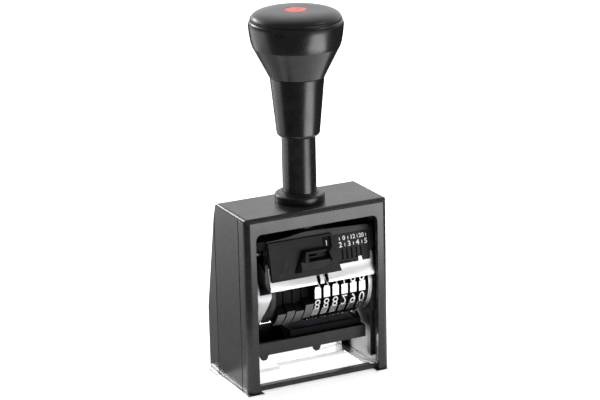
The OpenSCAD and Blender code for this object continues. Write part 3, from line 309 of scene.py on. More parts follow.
FINISH = {
    "housing": black_finish("gloss_black_housing", 0.014, (0.24, 0.3), peel=0.01),
    "front_cover": black_finish("gloss_black_cover", 0.015, (0.24, 0.3), peel=0.01),
    "tube_black": black_finish("black_enamel_tube", 0.012, (0.2, 0.27), peel=0.006),
    "rail_black": black_finish("black_rail", 0.03, (0.35, 0.5), coarse=0.15),
    "handle_black": black_finish("gloss_black_handle", 0.008, (0.24, 0.3), peel=0.01, specular=0.42),
    "cap_black": black_finish("satin_black_crown", 0.01, (0.28, 0.36), peel=0.01),
    "carriage_black": black_finish("satin_black_carriage", 0.016, (0.38, 0.5), coarse=0.2),
    "dial_black": black_finish("matt_black_dial", 0.009, (0.45, 0.6), specular=0.25, coarse=0.35),
    "blank_black": black_finish("black_oxide_wheel", 0.075, (0.3, 0.42), specular=0.6, coarse=0.1),
    "tray_black": black_finish("black_tray", 0.014, (0.3, 0.45), coarse=0.1),
}
# A dull near-black used as painted shade: on the wheels' valleys and sides, the slide's grip flanks, the
# carriage's left end, the tray's top, the pad holder and behind the slide's window.
painted_shade_black = black_finish("painted_shade_dull_black", 0.004, (0.55, 0.7), specular=0.12)
print(len(FINISH), "black finishes")

# %% [markdown]
# ## Metals
#
# The base is bright zinc-plated sheet, drawn out in the rolling direction. The front bar, the side
# plates and the wheels are nickel, and the hidden rods are plain turned steel. Streaks are the same
# noise as before, stretched along one axis.


# %% Metal finishes
def metal_finish(name, colour, gloss, stretch=(0.08, 1, 1), streak=0.25, scratch_mm=0.35):
    """Bare metal with streaks drawn out along one axis, soft stains and faint waviness."""
    metal = finish(name, colour, sum(gloss) / 2, metallic=1.0)
    streaks = grain(metal, scratch_mm, detail=4.0, stretch=stretch)
    rough(metal, between(metal, streaks, *gloss))
    dull = tuple(0.86 * c for c in colour)
    tinted(metal, grain(metal, 5.0, detail=5.0, distortion=0.4), dull, colour)
    bumped(metal, (grain(metal, 3.0, detail=1.0), 0.06, 0.05), (streaks, streak, 0.01))
    return metal


FINISH |= {
    "base_steel": metal_finish("bright_zinc_sheet", (0.9, 0.9, 0.91), (0.22, 0.36)),
    "screw_steel": metal_finish("turned_screw_steel", (0.6, 0.6, 0.62), (0.25, 0.4), stretch=(1, 1, 1)),
    "rod_steel": metal_finish("ground_rod_steel", (0.72, 0.72, 0.74), (0.15, 0.28), stretch=(1, 1, 0.1)),
    "nut_brass": metal_finish("turned_brass", (0.8, 0.6, 0.28), (0.2, 0.35), stretch=(1, 1, 1)),
    "spring_steel": metal_finish("spring_steel", (0.5, 0.5, 0.53), (0.25, 0.4), stretch=(1, 1, 1)),
    "bright_plate": metal_finish("nickel_plate", (0.74, 0.74, 0.75), (0.26, 0.4), streak=0.12),
    # The left side plate is a darker copy of the nickel plate: painted shade, and a rougher satin.
    "left_plate": metal_finish("satin_shaded_side_plate", (0.42, 0.42, 0.43), (0.3, 0.45), streak=0.1),
    "wheel_steel": metal_finish("nickel_wheel", (0.72, 0.72, 0.72), (0.2, 0.3), streak=0.05,
                                stretch=(1, 0.2, 0.2)),
    "rocker_steel": metal_finish("zinc_rocker", (0.6, 0.6, 0.62), (0.25, 0.4)),
}
print(len(FINISH), "finishes with the metals")

# %% [markdown]
# ## Small finishes
#
# The crown carries a small red disc. The pad is wool felt soaked with blue-black ink: matt, with
# short tangled fibres. The dial's figures are white paint, slightly raised and a little uneven. The
# flanks of the type on the wheels are painted shade, near-black round the raised strokes, while its
# faces stay bright steel.

# %% Red disc, felt, paint and the type's painted shade
red = finish("red_disc", (0.78, 0.03, 0.015), 0.35)
rough(red, between(red, grain(red, 2.0, detail=4.0), 0.28, 0.42))
tinted(red, grain(red, 3.0, detail=3.0), (0.62, 0.015, 0.01), (0.85, 0.05, 0.02))
bumped(red, (grain(red, 0.8, detail=1.0), 0.05, 0.02))
felt = finish("inked_felt", (0.02, 0.018, 0.04), 0.9, Sheen_Weight=0.3)
rough(felt, between(felt, grain(felt, 1.5, detail=4.0), 0.75, 0.95))
tinted(felt, grain(felt, 2.5, detail=6.0), (0.008, 0.008, 0.018), (0.035, 0.03, 0.07))
bumped(felt, (grain(felt, 0.9, detail=3.0, distortion=1.5), 0.5, 0.15),
       (grain(felt, 0.18, detail=4.0, distortion=2.0), 0.6, 0.08))
paint = finish("white_figure_paint", (0.86, 0.86, 0.84), 0.5)
rough(paint, between(paint, grain(paint, 0.6, detail=3.0), 0.4, 0.6))
tinted(paint, grain(paint, 0.7, detail=4.0), (0.74, 0.74, 0.72), (0.9, 0.9, 0.88))
bumped(paint, (grain(paint, 0.3, detail=2.0), 0.15, 0.02))
# Near-black for the flanks of the type: painted shade round the raised strokes.
type_flank_shade = finish("type_flank_painted_shade", (0.006, 0.006, 0.008), 0.6, Specular_IOR_Level=0.15)
rough(type_flank_shade, between(type_flank_shade, grain(type_flank_shade, 0.8, detail=4.0), 0.5, 0.7))
tinted(type_flank_shade, grain(type_flank_shade, 0.6, detail=5.0), (0.003, 0.003, 0.005), (0.012, 0.012, 0.015))
bumped(type_flank_shade, (grain(type_flank_shade, 0.25, detail=2.0), 0.12, 0.02))
FINISH |= {"red_disc": red, "ink_felt": felt}
print("red, felt, paint and ink are ready")

# %% [markdown]
# ## Every CAD node gets its finish
#
# The record says which finish slot each node takes. Nodes that stay as they are only need the
# right material in their slot, so that is done for all of them first.

# %% Dress the CAD nodes
for node, piece in frame["nodes"].items():
    piece.data.materials.clear()
    piece.data.materials.append(FINISH[SLOT_OF[node]])
print("dressed", len(frame["nodes"]), "nodes")


# %% [markdown]
# ## Turned pieces
#
# The knob, its crown, the sleeve, the tube and the collar nut are round. In the CAD model's mesh
# they have flat facets, which gloss shows up at once. Here the outline of each is spun again in
# many small steps, with each sharp corner eased over a fraction of a millimetre as on a moulding.


# %% Helpers for turned pieces
def place_piece(name, mesh, body, slot, material, *nodes):
    """Makes the mesh a piece that rides on a body and stands for the given nodes."""
    if not mesh.materials:
        mesh.materials.append(material)
    piece = bpy.data.objects.new(name, mesh)
    bpy.context.collection.objects.link(piece)
    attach(piece, body)
    if nodes:
        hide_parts(*nodes)
    print(name, "has", len(mesh.polygons), "faces")
    return piece


def mesh_of(form, name, sharp=None):
    """The form as a mesh, its faces outward and smooth where they meet at under sharp degrees."""
    bmesh.ops.recalc_face_normals(form, faces=form.faces)
    mesh = bpy.data.meshes.new(name)
    form.to_mesh(mesh)
    form.free()
    if sharp:
        mesh.shade_smooth()
        mesh.set_sharp_from_angle(angle=math.radians(sharp))
    return mesh


def eased(outline, radius, steps=5, least_turn=0.3):
    """Rounds each corner of a closed outline over at most radius, in mm, if it turns by least_turn."""
    soft = []
    for i, corner in enumerate(outline):
        here = Vector(corner)
        back = Vector(outline[i - 1]) - here
        on = Vector(outline[(i + 1) % len(outline)]) - here
        if min(here.x, back.length, on.length) < TINY or math.pi - back.angle(on) < least_turn:
            soft.append(tuple(here))
            continue
        start = here + back.normalized() * min(radius, back.length * 0.45)
        end = here + on.normalized() * min(radius, on.length * 0.45)
        for k in range(steps + 1):
            t = k / steps
            soft.append(tuple((1 - t) ** 2 * start + 2 * t * (1 - t) * here + t ** 2 * end))
    return soft


def turned(name, outline, slices=160):
    """Spins a closed outline of (radius, height) in mm round the handle's axis."""
    form = bmesh.new()
    rings = []
    for radius, height in outline:
        if radius < TINY:
            rings.append([form.verts.new((0, AXIS_Y, height * MM))])
            continue
        rings.append([form.verts.new((radius * MM * math.cos(math.tau * k / slices),
                                      AXIS_Y + radius * MM * math.sin(math.tau * k / slices),
                                      height * MM)) for k in range(slices)])
    for one, two in zip(rings, rings[1:] + rings[:1]):
        for k in range(slices):
            n = (k + 1) % slices
            corners = [one[k % len(one)], one[n % len(one)], two[n % len(two)], two[k % len(two)]]
            corners = list(dict.fromkeys(corners))
            if len(corners) > 2:
                form.faces.new(corners)
    return mesh_of(form, name, sharp=38)


# %% Knob and crown
RIM_Z, CROWN_H, CROWN_R, DISC_HOLE_R = 154.4, 3.85, 19.0, 4.57
CROWN_FLAT, CROWN_ROUND = 5.5, 0.55      # powers: how flat the dome's top is, how round its edge
DISC_Z, CAP_Z = 157.7, 152.8             # undersides of the disc and of the crown
KNOB_LOW_Z, NECK_Z, BORE_R = 130.4, 134.4, 7.15      # the sleeve's neck fills the knob's foot


def crown_height(r):
    """Height of the crown's dome at a radius, in mm."""
    return RIM_Z + CROWN_H * max(0.0, 1 - (r / CROWN_R) ** CROWN_FLAT) ** CROWN_ROUND


knob_outline = eased([
    (10.52, KNOB_LOW_Z), (11.65, KNOB_LOW_Z), (17.96, 142.7), (18.16, 142.95), (18.81, 145.0),
    (19.36, 148.1), (19.66, 150.7), (19.76, 151.7), (19.7, 152.6), (19.48, 153.4), (19.12, 153.95),
    (18.69, 154.25), (18.69, CAP_Z), (3.02, CAP_Z), (3.02, 148.4), (BORE_R, 148.4),
    (BORE_R, NECK_Z), (10.52, NECK_Z)], 0.22)
place_piece("knob_moulding", turned("knob_moulding", knob_outline), "plunger", "handle_black",
            FINISH["handle_black"], "knob")
dome = [(CROWN_R * math.cos(t), crown_height(CROWN_R * math.cos(t)))
        for t in (math.radians(i * 2.5) for i in range(35)) if CROWN_R * math.cos(t) > DISC_HOLE_R]
crown_outline = [(4.4, CAP_Z), (18.66, CAP_Z), (18.66, 154.36)] + dome + [
    (DISC_HOLE_R + 0.12, crown_height(DISC_HOLE_R) - 0.02),
    (DISC_HOLE_R, crown_height(DISC_HOLE_R) - 0.14),
    (DISC_HOLE_R, DISC_Z), (0, DISC_Z), (0, 155.5), (4.4, 155.5)]
place_piece("crown_moulding", turned("crown_moulding", crown_outline), "plunger", "cap_black",
            FINISH["cap_black"], "knob_cap")
disc_outline = [(0, DISC_Z), (4.5, DISC_Z), (4.55, 157.77), (4.5, 158.17)] + [
    (4.3 * (1 - i / 8), crown_height(4.3 * (1 - i / 8)) - 0.02) for i in range(9)]
place_piece("red_disc_inlay", turned("red_disc_inlay", disc_outline), "plunger", "red_disc",
            FINISH["red_disc"], "knob_disc")

# %% Sleeve, tube and collar nut
LIP_R, LIP_AT_R, LIP_AT_Z = 2.05, 7.05, 106.95
sleeve_outline = [(BORE_R, NECK_Z), (BORE_R, 104.9)] + [
    (LIP_AT_R + LIP_R * math.sin(math.radians(a)), LIP_AT_Z - LIP_R * math.cos(math.radians(a)))
    for a in range(6, 85, 6)] + eased([
        (9.09, 106.75), (11.4, 130.32), (10.5, KNOB_LOW_Z), (10.5, NECK_Z)], 0.3)
place_piece("sleeve_moulding", turned("sleeve_moulding", sleeve_outline), "plunger", "handle_black",
            FINISH["handle_black"], "handle_sleeve")
tube_outline = eased([(3.05, 72.0), (9.6, 72.0), (9.6, 74.0), (7.1, 74.0), (7.1, 124.0), (6.1, 124.0),
                      (6.1, 74.0), (3.05, 74.0)], 0.25)
place_piece("tube_drawn", turned("tube_drawn", tube_outline), "frame", "tube_black",
            FINISH["tube_black"], "guide_tube")
collar_outline = eased([(7.12, 77.0), (10.5, 77.0), (10.5, 79.9), (10.0, 80.4), (8.0, 80.4), (7.8, 81.1),
                        (7.12, 81.1)], 0.25)
place_piece("collar_turned", turned("collar_turned", collar_outline), "frame", "tube_black",
            FINISH["cap_black"], "collar_nut")


# %% [markdown]
# ## The return spring
#
# The spring stands on the tube's foot and carries the rod's head. It is wound here again with a
# rounder wire, and it rides with the plunger.

# %% Coil
SPRING_R, WIRE_R, COIL_LOW, COIL_HIGH, COILS = 4.55, 0.5, 74.55, 119.05, 12
RINGS_A_COIL, WIRE_SIDES = 28, 10
form = bmesh.new()
rings = []
for i in range(COILS * RINGS_A_COIL + 1):
    a = math.tau * i / RINGS_A_COIL
    height = COIL_LOW + (COIL_HIGH - COIL_LOW) * i / (COILS * RINGS_A_COIL)
    ring = []
    for k in range(WIRE_SIDES):
        b = math.tau * k / WIRE_SIDES
        reach = (SPRING_R + WIRE_R * math.cos(b)) * MM
        ring.append(form.verts.new((reach * math.cos(a), AXIS_Y + reach * math.sin(a),
                                    (height + WIRE_R * math.sin(b)) * MM)))
    rings.append(ring)
for one, two in zip(rings, rings[1:]):
    for k in range(WIRE_SIDES):
        n = (k + 1) % WIRE_SIDES
        form.faces.new((one[k], one[n], two[n], two[k]))
form.faces.new(rings[0])
form.faces.new(rings[-1][::-1])
coil_piece = place_piece("spring_coil", mesh_of(form, "spring_coil", sharp=50), "plunger", "spring_steel",
                         FINISH["spring_steel"], "return_spring")
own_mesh(coil_piece)

# %% [markdown]
# ## Moulded and pressed pieces
#
# No real edge is perfectly sharp. A moulded or pressed part has a small round on every edge, and
# that round is what catches the light. Here a copy of a CAD node has its split corners welded, and
# a Bevel modifier rolls its edges over by a fraction of a millimetre. Where a bevel strays from the
# old surface, as it can in a tight corner, it is pulled back to it.


# %% Helpers for softened edges
WELD = 2e-6                  # vertices of a CAD mesh that lie closer than this are one, in metres
SHARP_EDGE = math.radians(32)
STRAY = 0.6                  # a bevel's vertex may lie this share of its radius off the old surface


def softened(node, radius, new_name, steps=3):
    """A merged copy of a CAD node with rounded edges, baked to a plain mesh; radius in mm."""
    form = bmesh.new()
    form.from_mesh(frame["nodes"][node].data)
    bmesh.ops.remove_doubles(form, verts=form.verts, dist=WELD)
    surface = BVHTree.FromBMesh(form)
    mesh = bpy.data.meshes.new(new_name)
    form.to_mesh(mesh)
    form.free()
    mesh.materials.clear()
    mesh.materials.append(FINISH[SLOT_OF[node]])
    rolled = baked_with(mesh, new_name, ("BEVEL", {
        "width": radius * MM, "segments": steps, "limit_method": "ANGLE",
        "angle_limit": SHARP_EDGE, "use_clamp_overlap": False}))
    pulled = 0
    for vertex in rolled.vertices:
        near, _, _, away = surface.find_nearest(vertex.co)
        if away > radius * MM * STRAY:
            vertex.co = near
            pulled += 1
    without_slivers(rolled)
    rolled.shade_smooth()
    rolled.set_sharp_from_angle(angle=math.radians(45))
    final = baked_with(rolled, new_name, ("WEIGHTED_NORMAL", {"keep_sharp": True, "weight": 90}))
    final.name = new_name
    print(new_name, "pulled back", pulled)
    return place_piece(new_name, final, BODY_OF[node], SLOT_OF[node], FINISH[SLOT_OF[node]], node)


def without_slivers(mesh):
    """Dissolves faces and edges of no size, which the pull-back leaves, and closes what that opens."""
    form = bmesh.new()
    form.from_mesh(mesh)
    bmesh.ops.dissolve_degenerate(form, dist=TINY, edges=form.edges)
    bmesh.ops.holes_fill(form, edges=[edge for edge in form.edges if edge.is_boundary])
    bmesh.ops.delete(form, geom=[edge for edge in form.edges if edge.is_wire], context="EDGES")
    form.to_mesh(mesh)
    form.free()


def baked_with(mesh, name, *steps):
    """The mesh with these modifiers applied, each (kind, its settings)."""
    draft = bpy.data.objects.new(name + "_draft", mesh)
    bpy.context.collection.objects.link(draft)
    for kind, settings in steps:
        modifier = draft.modifiers.new(kind.lower(), kind)
        for setting, value in settings.items():
            setattr(modifier, setting, value)
    graph = bpy.context.evaluated_depsgraph_get()
    baked = bpy.data.meshes.new_from_object(draft.evaluated_get(graph))
    bpy.data.objects.remove(draft)
    return baked


# %% Soften the moulded and pressed pieces
soft = {}
for node, radius in (("housing", 0.3), ("front_cover", 0.3), ("carriage_frame", 0.2),
                     ("selector_slide", 0.18), ("dial_plate", 0.12), ("front_bar", 0.2),
                     ("left_side_plate", 0.15), ("right_side_plate", 0.15), ("pad_tray", 0.25),
                     ("pad_holder", 0.15), ("left_guide_rail", 0.2), ("right_guide_rail", 0.2),
                     ("base_plate", 0.15), ("spacer_ring", 0.1), ("left_pad_arm", 0.2),
                     ("right_pad_arm", 0.2), ("rocker_frame", 0.12), ("feed_pawl", 0.1)):
    soft[node] = softened(node, radius, node + "_soft")


def painted(piece, material, choose):
    """Gives another material to the faces that choose(centre in mm, normal) picks; counts them."""
    piece.data.materials.append(material)
    index = len(piece.data.materials) - 1
    chosen = [face for face in piece.data.polygons if choose(face.center / MM, face.normal)]
    for face in chosen:
        face.material_index = index
    print(piece.name, "has", len(chosen), "faces in", material.name)


GRIP_LEFT, GRIP_RIGHT = -19.9, 8.4       # the slide's flanks between these are in shade
LEFT_CHEEK_IN, RIGHT_CHEEK_IN, CHEEK_TOP = -20.6, 23, 48
FLANK, UPWARD, FORWARD = 0.25, 0.35, -0.9      # parts of a normal that tell a flank, a top, a front
# The left side plate takes the darker nickel copy, as painted shade.
soft["left_side_plate"].data.materials[0] = FINISH["left_plate"]
# Painted shade: the slide's grip flanks get the dull near-black, for the shade they lie in.
painted(soft["selector_slide"], painted_shade_black,
        lambda at, out: abs(out.x) > FLANK and GRIP_LEFT < at.x < GRIP_RIGHT)
# Painted shade: the carriage's faces left of its left cheek, inside the window, get the dull near-black.
painted(soft["carriage_frame"], painted_shade_black, lambda at, out: at.x < LEFT_CHEEK_IN)
# Painted shade: the tray's upward faces behind its bar get the dull near-black.
painted(soft["pad_tray"], painted_shade_black, lambda at, out: out.z > UPWARD)
# Painted shade: the whole pad holder gets the dull near-black, for the shade behind the tray's bar.
soft["pad_holder"].data.materials[0] = painted_shade_black
painted(soft["carriage_frame"], FINISH["front_cover"],
        lambda at, out: out.y < FORWARD and at.x > RIGHT_CHEEK_IN and at.z < CHEEK_TOP)

# %% [markdown]
# ## The ten wheels
#
# The blocks of the number wheels and the lands of the blank wheels keep their own bright or smooth
# finish, while the seats, valleys and sides between them get the dull near-black as painted shade.
# Faces are told apart by how far they lie from the axle.

# %% Soften the wheels and paint shade into the valleys
AXLE = (2.5 - BOX_SHIFT, 39.1)
WHEEL_R, LAND_DEPTH = 15.7, 0.35         # what lies deeper than LAND_DEPTH is a valley
for node, radius in [(f"number_wheel_{i + 1}", 0.1) for i in range(6)] + [
        (f"blank_wheel_{i + 1}", 0.15) for i in range(4)]:
    painted(softened(node, radius, node + "_soft", steps=2), painted_shade_black,
            lambda at, out: math.hypot(at.y - AXLE[0], at.z - AXLE[1]) < WHEEL_R - LAND_DEPTH)

# %% [markdown]
# ## Type on the number wheels
#
# Each wheel carries ten raised figures, one on each pad, mirrored so that they print the right way
# round. It is the same thing ten times round a circle, so Geometry Nodes make it: a repeat zone
# writes one figure, pushes it up, closes its underside, bends it to the wheel and joins it to the
# ring. The bend mirrors the figure, so its faces are flipped back after it.


# %% Helpers for node trees
def link_all(tree, *pairs):
    """Joins (output, input) sockets one after another."""
    for output, socket in pairs:
        tree.links.new(output, socket)


def math_node(tree, operation, one, two=None):
    """A Math node on sockets or plain numbers."""
    node = tree.nodes.new("ShaderNodeMath")
    node.operation = operation
    for index, value in enumerate(v for v in (one, two) if v is not None):
        if isinstance(value, (int, float)):
            node.inputs[index].default_value = value
        else:
            tree.links.new(value, node.inputs[index])
    return node.outputs[0]


def tree_with_inputs(name, *inputs):
    """A geometry tree with named inputs and one geometry output."""
    tree = bpy.data.node_groups.new(name, "GeometryNodeTree")
    for label, kind in inputs:
        tree.interface.new_socket(label, in_out="INPUT", socket_type=kind)
    tree.interface.new_socket("Geometry", in_out="OUTPUT", socket_type="NodeSocketGeometry")
    return tree, tree.nodes.new("NodeGroupInput"), tree.nodes.new("NodeGroupOutput")


def grown(name, tree, **values):
    """Runs a tree on an empty mesh with these inputs and gives back the plain mesh."""
    carrier = bpy.data.objects.new(name + "_draft", bpy.data.meshes.new(name + "_draft"))
    bpy.context.collection.objects.link(carrier)
    nodes = carrier.modifiers.new("grow", "NODES")
    nodes.node_group = tree
    ids = {item.name: item.identifier for item in tree.interface.items_tree if item.in_out == "INPUT"}
    for label, value in values.items():
        nodes[ids[label.replace("_", " ")]] = value
    baked = bpy.data.meshes.new_from_object(
        carrier.evaluated_get(bpy.context.evaluated_depsgraph_get()))
    carrier.modifiers.clear()
    bpy.data.objects.remove(carrier)
    baked.name = name
    return baked


# %% The tree for one wheel's type
FIGURE_FONT = bpy.data.fonts.load("<builtin>")
FLOAT = "NodeSocketFloat"
FIGURES = 10
NARROW = 0.8                 # the figures are this share of the font's width
type_tree, given, made = tree_with_inputs(
    "wheel_type", ("Centre X", FLOAT), ("Axle Y", FLOAT), ("Axle Z", FLOAT), ("Foot Radius", FLOAT),
    ("Face Radius", FLOAT), ("Figure Size", FLOAT), ("Start Angle", FLOAT),
    ("Body", "NodeSocketMaterial"), ("Face", "NodeSocketMaterial"))
repeat_in = type_tree.nodes.new("GeometryNodeRepeatInput")
repeat_out = type_tree.nodes.new("GeometryNodeRepeatOutput")
repeat_in.pair_with_output(repeat_out)
repeat_out.repeat_items.new("INT", "Count")
repeat_in.inputs["Iterations"].default_value = FIGURES
count = repeat_in.outputs["Count"]
written = type_tree.nodes.new("FunctionNodeValueToString")
letters = type_tree.nodes.new("GeometryNodeStringToCurves")
letters.font = FIGURE_FONT
letters.align_x = "CENTER"
letters.align_y = "MIDDLE"
fill = type_tree.nodes.new("GeometryNodeFillCurve")
fill.mode = "NGONS"
raise_up = type_tree.nodes.new("GeometryNodeExtrudeMesh")
raise_up.inputs["Individual"].default_value = False
underside = type_tree.nodes.new("GeometryNodeFlipFaces")
closed = type_tree.nodes.new("GeometryNodeJoinGeometry")
weld = type_tree.nodes.new("GeometryNodeMergeByDistance")
weld.inputs["Distance"].default_value = TINY / 10
outward = type_tree.nodes.new("GeometryNodeFlipFaces")
real_curves = type_tree.nodes.new("GeometryNodeRealizeInstances")
body_paint = type_tree.nodes.new("GeometryNodeSetMaterial")
face_paint = type_tree.nodes.new("GeometryNodeSetMaterial")
bend = type_tree.nodes.new("GeometryNodeSetPosition")
where = type_tree.nodes.new("GeometryNodeInputPosition")
split = type_tree.nodes.new("ShaderNodeSeparateXYZ")
build = type_tree.nodes.new("ShaderNodeCombineXYZ")
gather = type_tree.nodes.new("GeometryNodeJoinGeometry")
link_all(type_tree,
         (count, written.inputs["Value"]), (written.outputs["String"], letters.inputs["String"]),
         (given.outputs["Figure Size"], letters.inputs["Size"]),
         (letters.outputs["Curve Instances"], real_curves.inputs[0]),
         (real_curves.outputs[0], fill.inputs["Curve"]),
         (fill.outputs["Mesh"], raise_up.inputs["Mesh"]),
         (math_node(type_tree, "SUBTRACT", given.outputs["Face Radius"], given.outputs["Foot Radius"]),
          raise_up.inputs["Offset Scale"]),
         (fill.outputs["Mesh"], underside.inputs["Mesh"]),
         (raise_up.outputs["Mesh"], closed.inputs[0]), (underside.outputs["Mesh"], closed.inputs[0]),
         (closed.outputs[0], body_paint.inputs["Geometry"]),
         (given.outputs["Body"], body_paint.inputs["Material"]),
         (body_paint.outputs[0], face_paint.inputs["Geometry"]),
         (raise_up.outputs["Top"], face_paint.inputs["Selection"]),
         (given.outputs["Face"], face_paint.inputs["Material"]),
         (face_paint.outputs[0], weld.inputs["Geometry"]), (weld.outputs[0], bend.inputs["Geometry"]),
         (where.outputs[0], split.inputs[0]))
turn_to = math_node(type_tree, "ADD", given.outputs["Start Angle"],
                    math_node(type_tree, "MULTIPLY", count, math.tau / FIGURES))
angle = math_node(type_tree, "ADD", turn_to,
                  math_node(type_tree, "DIVIDE", split.outputs["Y"], given.outputs["Face Radius"]))
reach = math_node(type_tree, "ADD", split.outputs["Z"], given.outputs["Foot Radius"])
link_all(type_tree,
         (math_node(type_tree, "ADD", given.outputs["Centre X"],
                    math_node(type_tree, "MULTIPLY", split.outputs["X"], NARROW)), build.inputs["X"]),
         (math_node(type_tree, "SUBTRACT", given.outputs["Axle Y"],
                    math_node(type_tree, "MULTIPLY", reach, math_node(type_tree, "COSINE", angle))),
          build.inputs["Y"]),
         (math_node(type_tree, "SUBTRACT", given.outputs["Axle Z"],
                    math_node(type_tree, "MULTIPLY", reach, math_node(type_tree, "SINE", angle))),
          build.inputs["Z"]),
         (build.outputs[0], bend.inputs["Position"]),
         (bend.outputs[0], outward.inputs["Mesh"]), (outward.outputs["Mesh"], gather.inputs[0]),
         (repeat_in.outputs["Geometry"], gather.inputs[0]),
         (gather.outputs[0], repeat_out.inputs["Geometry"]),
         (math_node(type_tree, "ADD", count, 1), repeat_out.inputs["Count"]),
         (repeat_out.outputs["Geometry"], made.inputs[0]))
print("type tree has", len(type_tree.nodes), "nodes")

# %% Grow the type on six wheels
WHEEL_PITCH, FIRST_WHEEL_X, PAD_STEP = 4.18, 1.0, 360 / FIGURES
FOOT_R, FACE_R, FIGURE_SIZE = 14.9, 15.68, 7.1
PADS_ON = (2, 2, 2, 8, 1, 0)             # how many pads each wheel is turned on from its figure 0
# Each figure's flanks and underside get the near-black painted shade, and its face the wheel's steel.
for i, pads_on in enumerate(PADS_ON):
    ring = grown(f"wheel_type_{i + 1}", type_tree, Centre_X=(FIRST_WHEEL_X + WHEEL_PITCH * i) * MM,
                 Axle_Y=AXLE[0] * MM, Axle_Z=AXLE[1] * MM, Foot_Radius=FOOT_R * MM,
                 Face_Radius=FACE_R * MM, Figure_Size=FIGURE_SIZE * MM,
                 Start_Angle=math.radians(PAD_STEP * (0.5 + pads_on)),
                 Body=type_flank_shade, Face=FINISH["wheel_steel"])
    place_piece(f"wheel_type_{i + 1}", ring, f"number_wheel_{i + 1}", "wheel_steel", type_flank_shade)

# %% [markdown]
# ## Figures and marks on the face
#
# The dial tells how many clicks the selector stands at, in small white figures with a tick between
# each two, and a lone figure shows through the slide's window. The face leans back by 12 degrees,
# so each mark is made flat as a mesh first and is then laid on the leaning plane.


# %% Helpers for marks on the leaning face
FACE_LEAN = math.radians(12)
FACE_FOOT_Z = 47             # the height at which a plane's depth is given
INK_SPREAD = 0.02            # a painted figure's strokes spread by this share of its size


def on_face(depth, x, up, lift):
    """A point on the leaning face: its plane's depth, x, height and lift off the plane, all in mm."""
    foot = Vector((x, -depth + (up - FACE_FOOT_Z) * math.tan(FACE_LEAN) - BOX_SHIFT, up))
    return (foot + lift * Vector((0, -math.cos(FACE_LEAN), math.sin(FACE_LEAN)))) * MM


def figure(form, depth, text, x, up, size, thick=0.05):
    """Writes one word as a thin solid, centred on x and up."""
    curve = bpy.data.curves.new("figure", "FONT")
    curve.body, curve.size, curve.font = text, size, FIGURE_FONT
    curve.align_x, curve.align_y = "CENTER", "CENTER"
    curve.extrude, curve.offset, curve.resolution_u = thick / 2, INK_SPREAD * size, 4
    draft = bpy.data.objects.new("figure", curve)
    bpy.context.collection.objects.link(draft)
    flat = bpy.data.meshes.new_from_object(draft.evaluated_get(bpy.context.evaluated_depsgraph_get()))
    bpy.data.objects.remove(draft)
    for vertex in flat.vertices:
        flat_x, flat_up, out = vertex.co
        vertex.co = on_face(depth, x + flat_x, up + flat_up * math.cos(FACE_LEAN), out + thick / 2)
    form.from_mesh(flat)


def stroke(form, depth, ends, width, thick=0.05):
    """A straight mark from one (x, height) to another."""
    (x0, z0), (x1, z1) = ends
    side = Vector((z0 - z1, x1 - x0)).normalized() * width / 2
    corners = [(x0 + side.x, z0 + side.y), (x1 + side.x, z1 + side.y),
               (x1 - side.x, z1 - side.y), (x0 - side.x, z0 - side.y)]
    low = [form.verts.new(on_face(depth, x, z, 0.0)) for x, z in corners]
    high = [form.verts.new(on_face(depth, x, z, thick)) for x, z in corners]
    form.faces.new(low)
    form.faces.new(high[::-1])
    for k in range(4):
        form.faces.new((low[k], high[k], high[(k + 1) % 4], low[(k + 1) % 4]))


def marks_done(form, name, body, slot, material):
    """Closes a form of marks as one piece."""
    bmesh.ops.remove_doubles(form, verts=form.verts, dist=TINY / 10)
    place_piece(name, mesh_of(form, name), body, slot, material)


# %% White figures on the dial
DIAL_DEPTH, WALL_DEPTH, SLIDE_DEPTH = 12.5, 12.7, 13.6
LOW_ROW, HIGH_ROW = 57.6, 60.2
LOW_SIZE, HIGH_SIZE = 3.1, 2.5
form = bmesh.new()
for text, x in (("2", 13.4), ("3", 17.5), ("4", 21.5), ("5", 25.4)):
    figure(form, DIAL_DEPTH, text, x, LOW_ROW, LOW_SIZE)
for text, x in (("0", 15.3), ("12", 19.4), ("20", 23.5)):
    figure(form, DIAL_DEPTH, text, x, HIGH_ROW, HIGH_SIZE)
figure(form, WALL_DEPTH, "1", 6.9, 59.4, 3.0, thick=0.09)
for x in (15.45, 19.5, 23.5):
    stroke(form, DIAL_DEPTH, ((x, 56.8), (x, 58.2)), 0.3)
for x in (13.2, 17.2, 21.6, 25.6):
    stroke(form, DIAL_DEPTH, ((x, 59.5), (x, 60.8)), 0.28)
marks_done(form, "dial_figures", "plunger", "dial_black", paint)
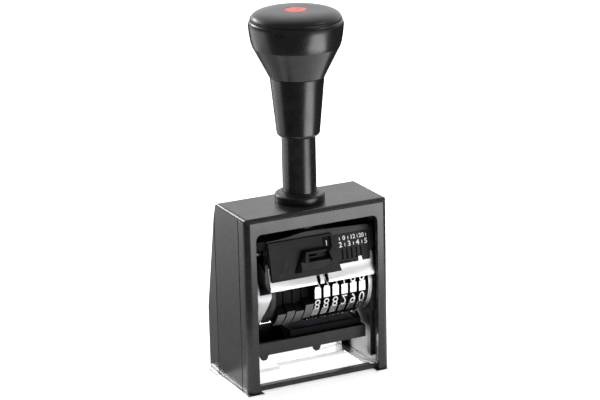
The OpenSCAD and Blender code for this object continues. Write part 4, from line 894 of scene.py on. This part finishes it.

# %% Painted shade behind the slide's window: a thin dull near-black patch
WINDOW_LEFT, WINDOW_RIGHT, WINDOW_Z, WINDOW_H = 4.4, 9.3, 60.0, 5.4
form = bmesh.new()
stroke(form, WALL_DEPTH - 0.04, ((WINDOW_LEFT, WINDOW_Z), (WINDOW_RIGHT, WINDOW_Z)), WINDOW_H,
       thick=0.11)
marks_done(form, "window_painted_shade", "plunger", "carriage_black", painted_shade_black)

# %% Arrow on the slide
form = bmesh.new()
for ends in (((-14.6, 49.6), (-12.6, 54.6)), ((-12.6, 54.6), (-14.2, 53.6)),
             ((-12.6, 54.6), (-12.2, 52.7)), ((-16.6, 49.4), (-10.6, 50.4)),
             ((-16.6, 49.4), (-15.4, 50.6)), ((-10.6, 50.4), (-12.0, 50.9))):
    stroke(form, SLIDE_DEPTH, ends, 0.26, thick=0.04)
marks_done(form, "slide_arrows", "selector", "dial_black", FINISH["tube_black"])

# %% [markdown]
# ## The ink pad
#
# The pad is a strip of thick felt pressed into its holder: flat below, gently crowned on top, with
# soft rounded edges. A grid is shaped by two smooth curves and closed underneath.

# %% Felt pad
low, high = (Vector(c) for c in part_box("ink_pad"))
ACROSS, ALONG = 24, 12
CROWN_SAG, RIM_SAG = 0.35, 1.1           # mm, how far the top falls towards the rim and at it
form = bmesh.new()
rows = []
for j in range(ALONG + 1):
    row = []
    for i in range(ACROSS + 1):
        u, v = 2 * i / ACROSS - 1, 2 * j / ALONG - 1
        edge = max(abs(u) ** 10, abs(v) ** 8)
        sag = CROWN_SAG * (u * u + v * v) + RIM_SAG * edge
        row.append(form.verts.new(((low.x + high.x) / 2 + u * (high.x - low.x) / 2,
                                   (low.y + high.y) / 2 + v * (high.y - low.y) / 2,
                                   high.z - sag * MM)))
    rows.append(row)
for j in range(ALONG):
    for i in range(ACROSS):
        form.faces.new((rows[j][i], rows[j][i + 1], rows[j + 1][i + 1], rows[j + 1][i]))
rim = rows[0] + [row[-1] for row in rows[1:]] + rows[-1][-2::-1] + [row[0] for row in rows[-2:0:-1]]
foot = [form.verts.new((v.co.x, v.co.y, low.z)) for v in rim]
for k in range(len(rim)):
    n = (k + 1) % len(rim)
    form.faces.new((rim[n], rim[k], foot[k], foot[n]))
form.faces.new(foot[::-1])
pad = place_piece("felt_pad", mesh_of(form, "felt_pad", sharp=50), "pad_carrier", "ink_felt", felt, "ink_pad")
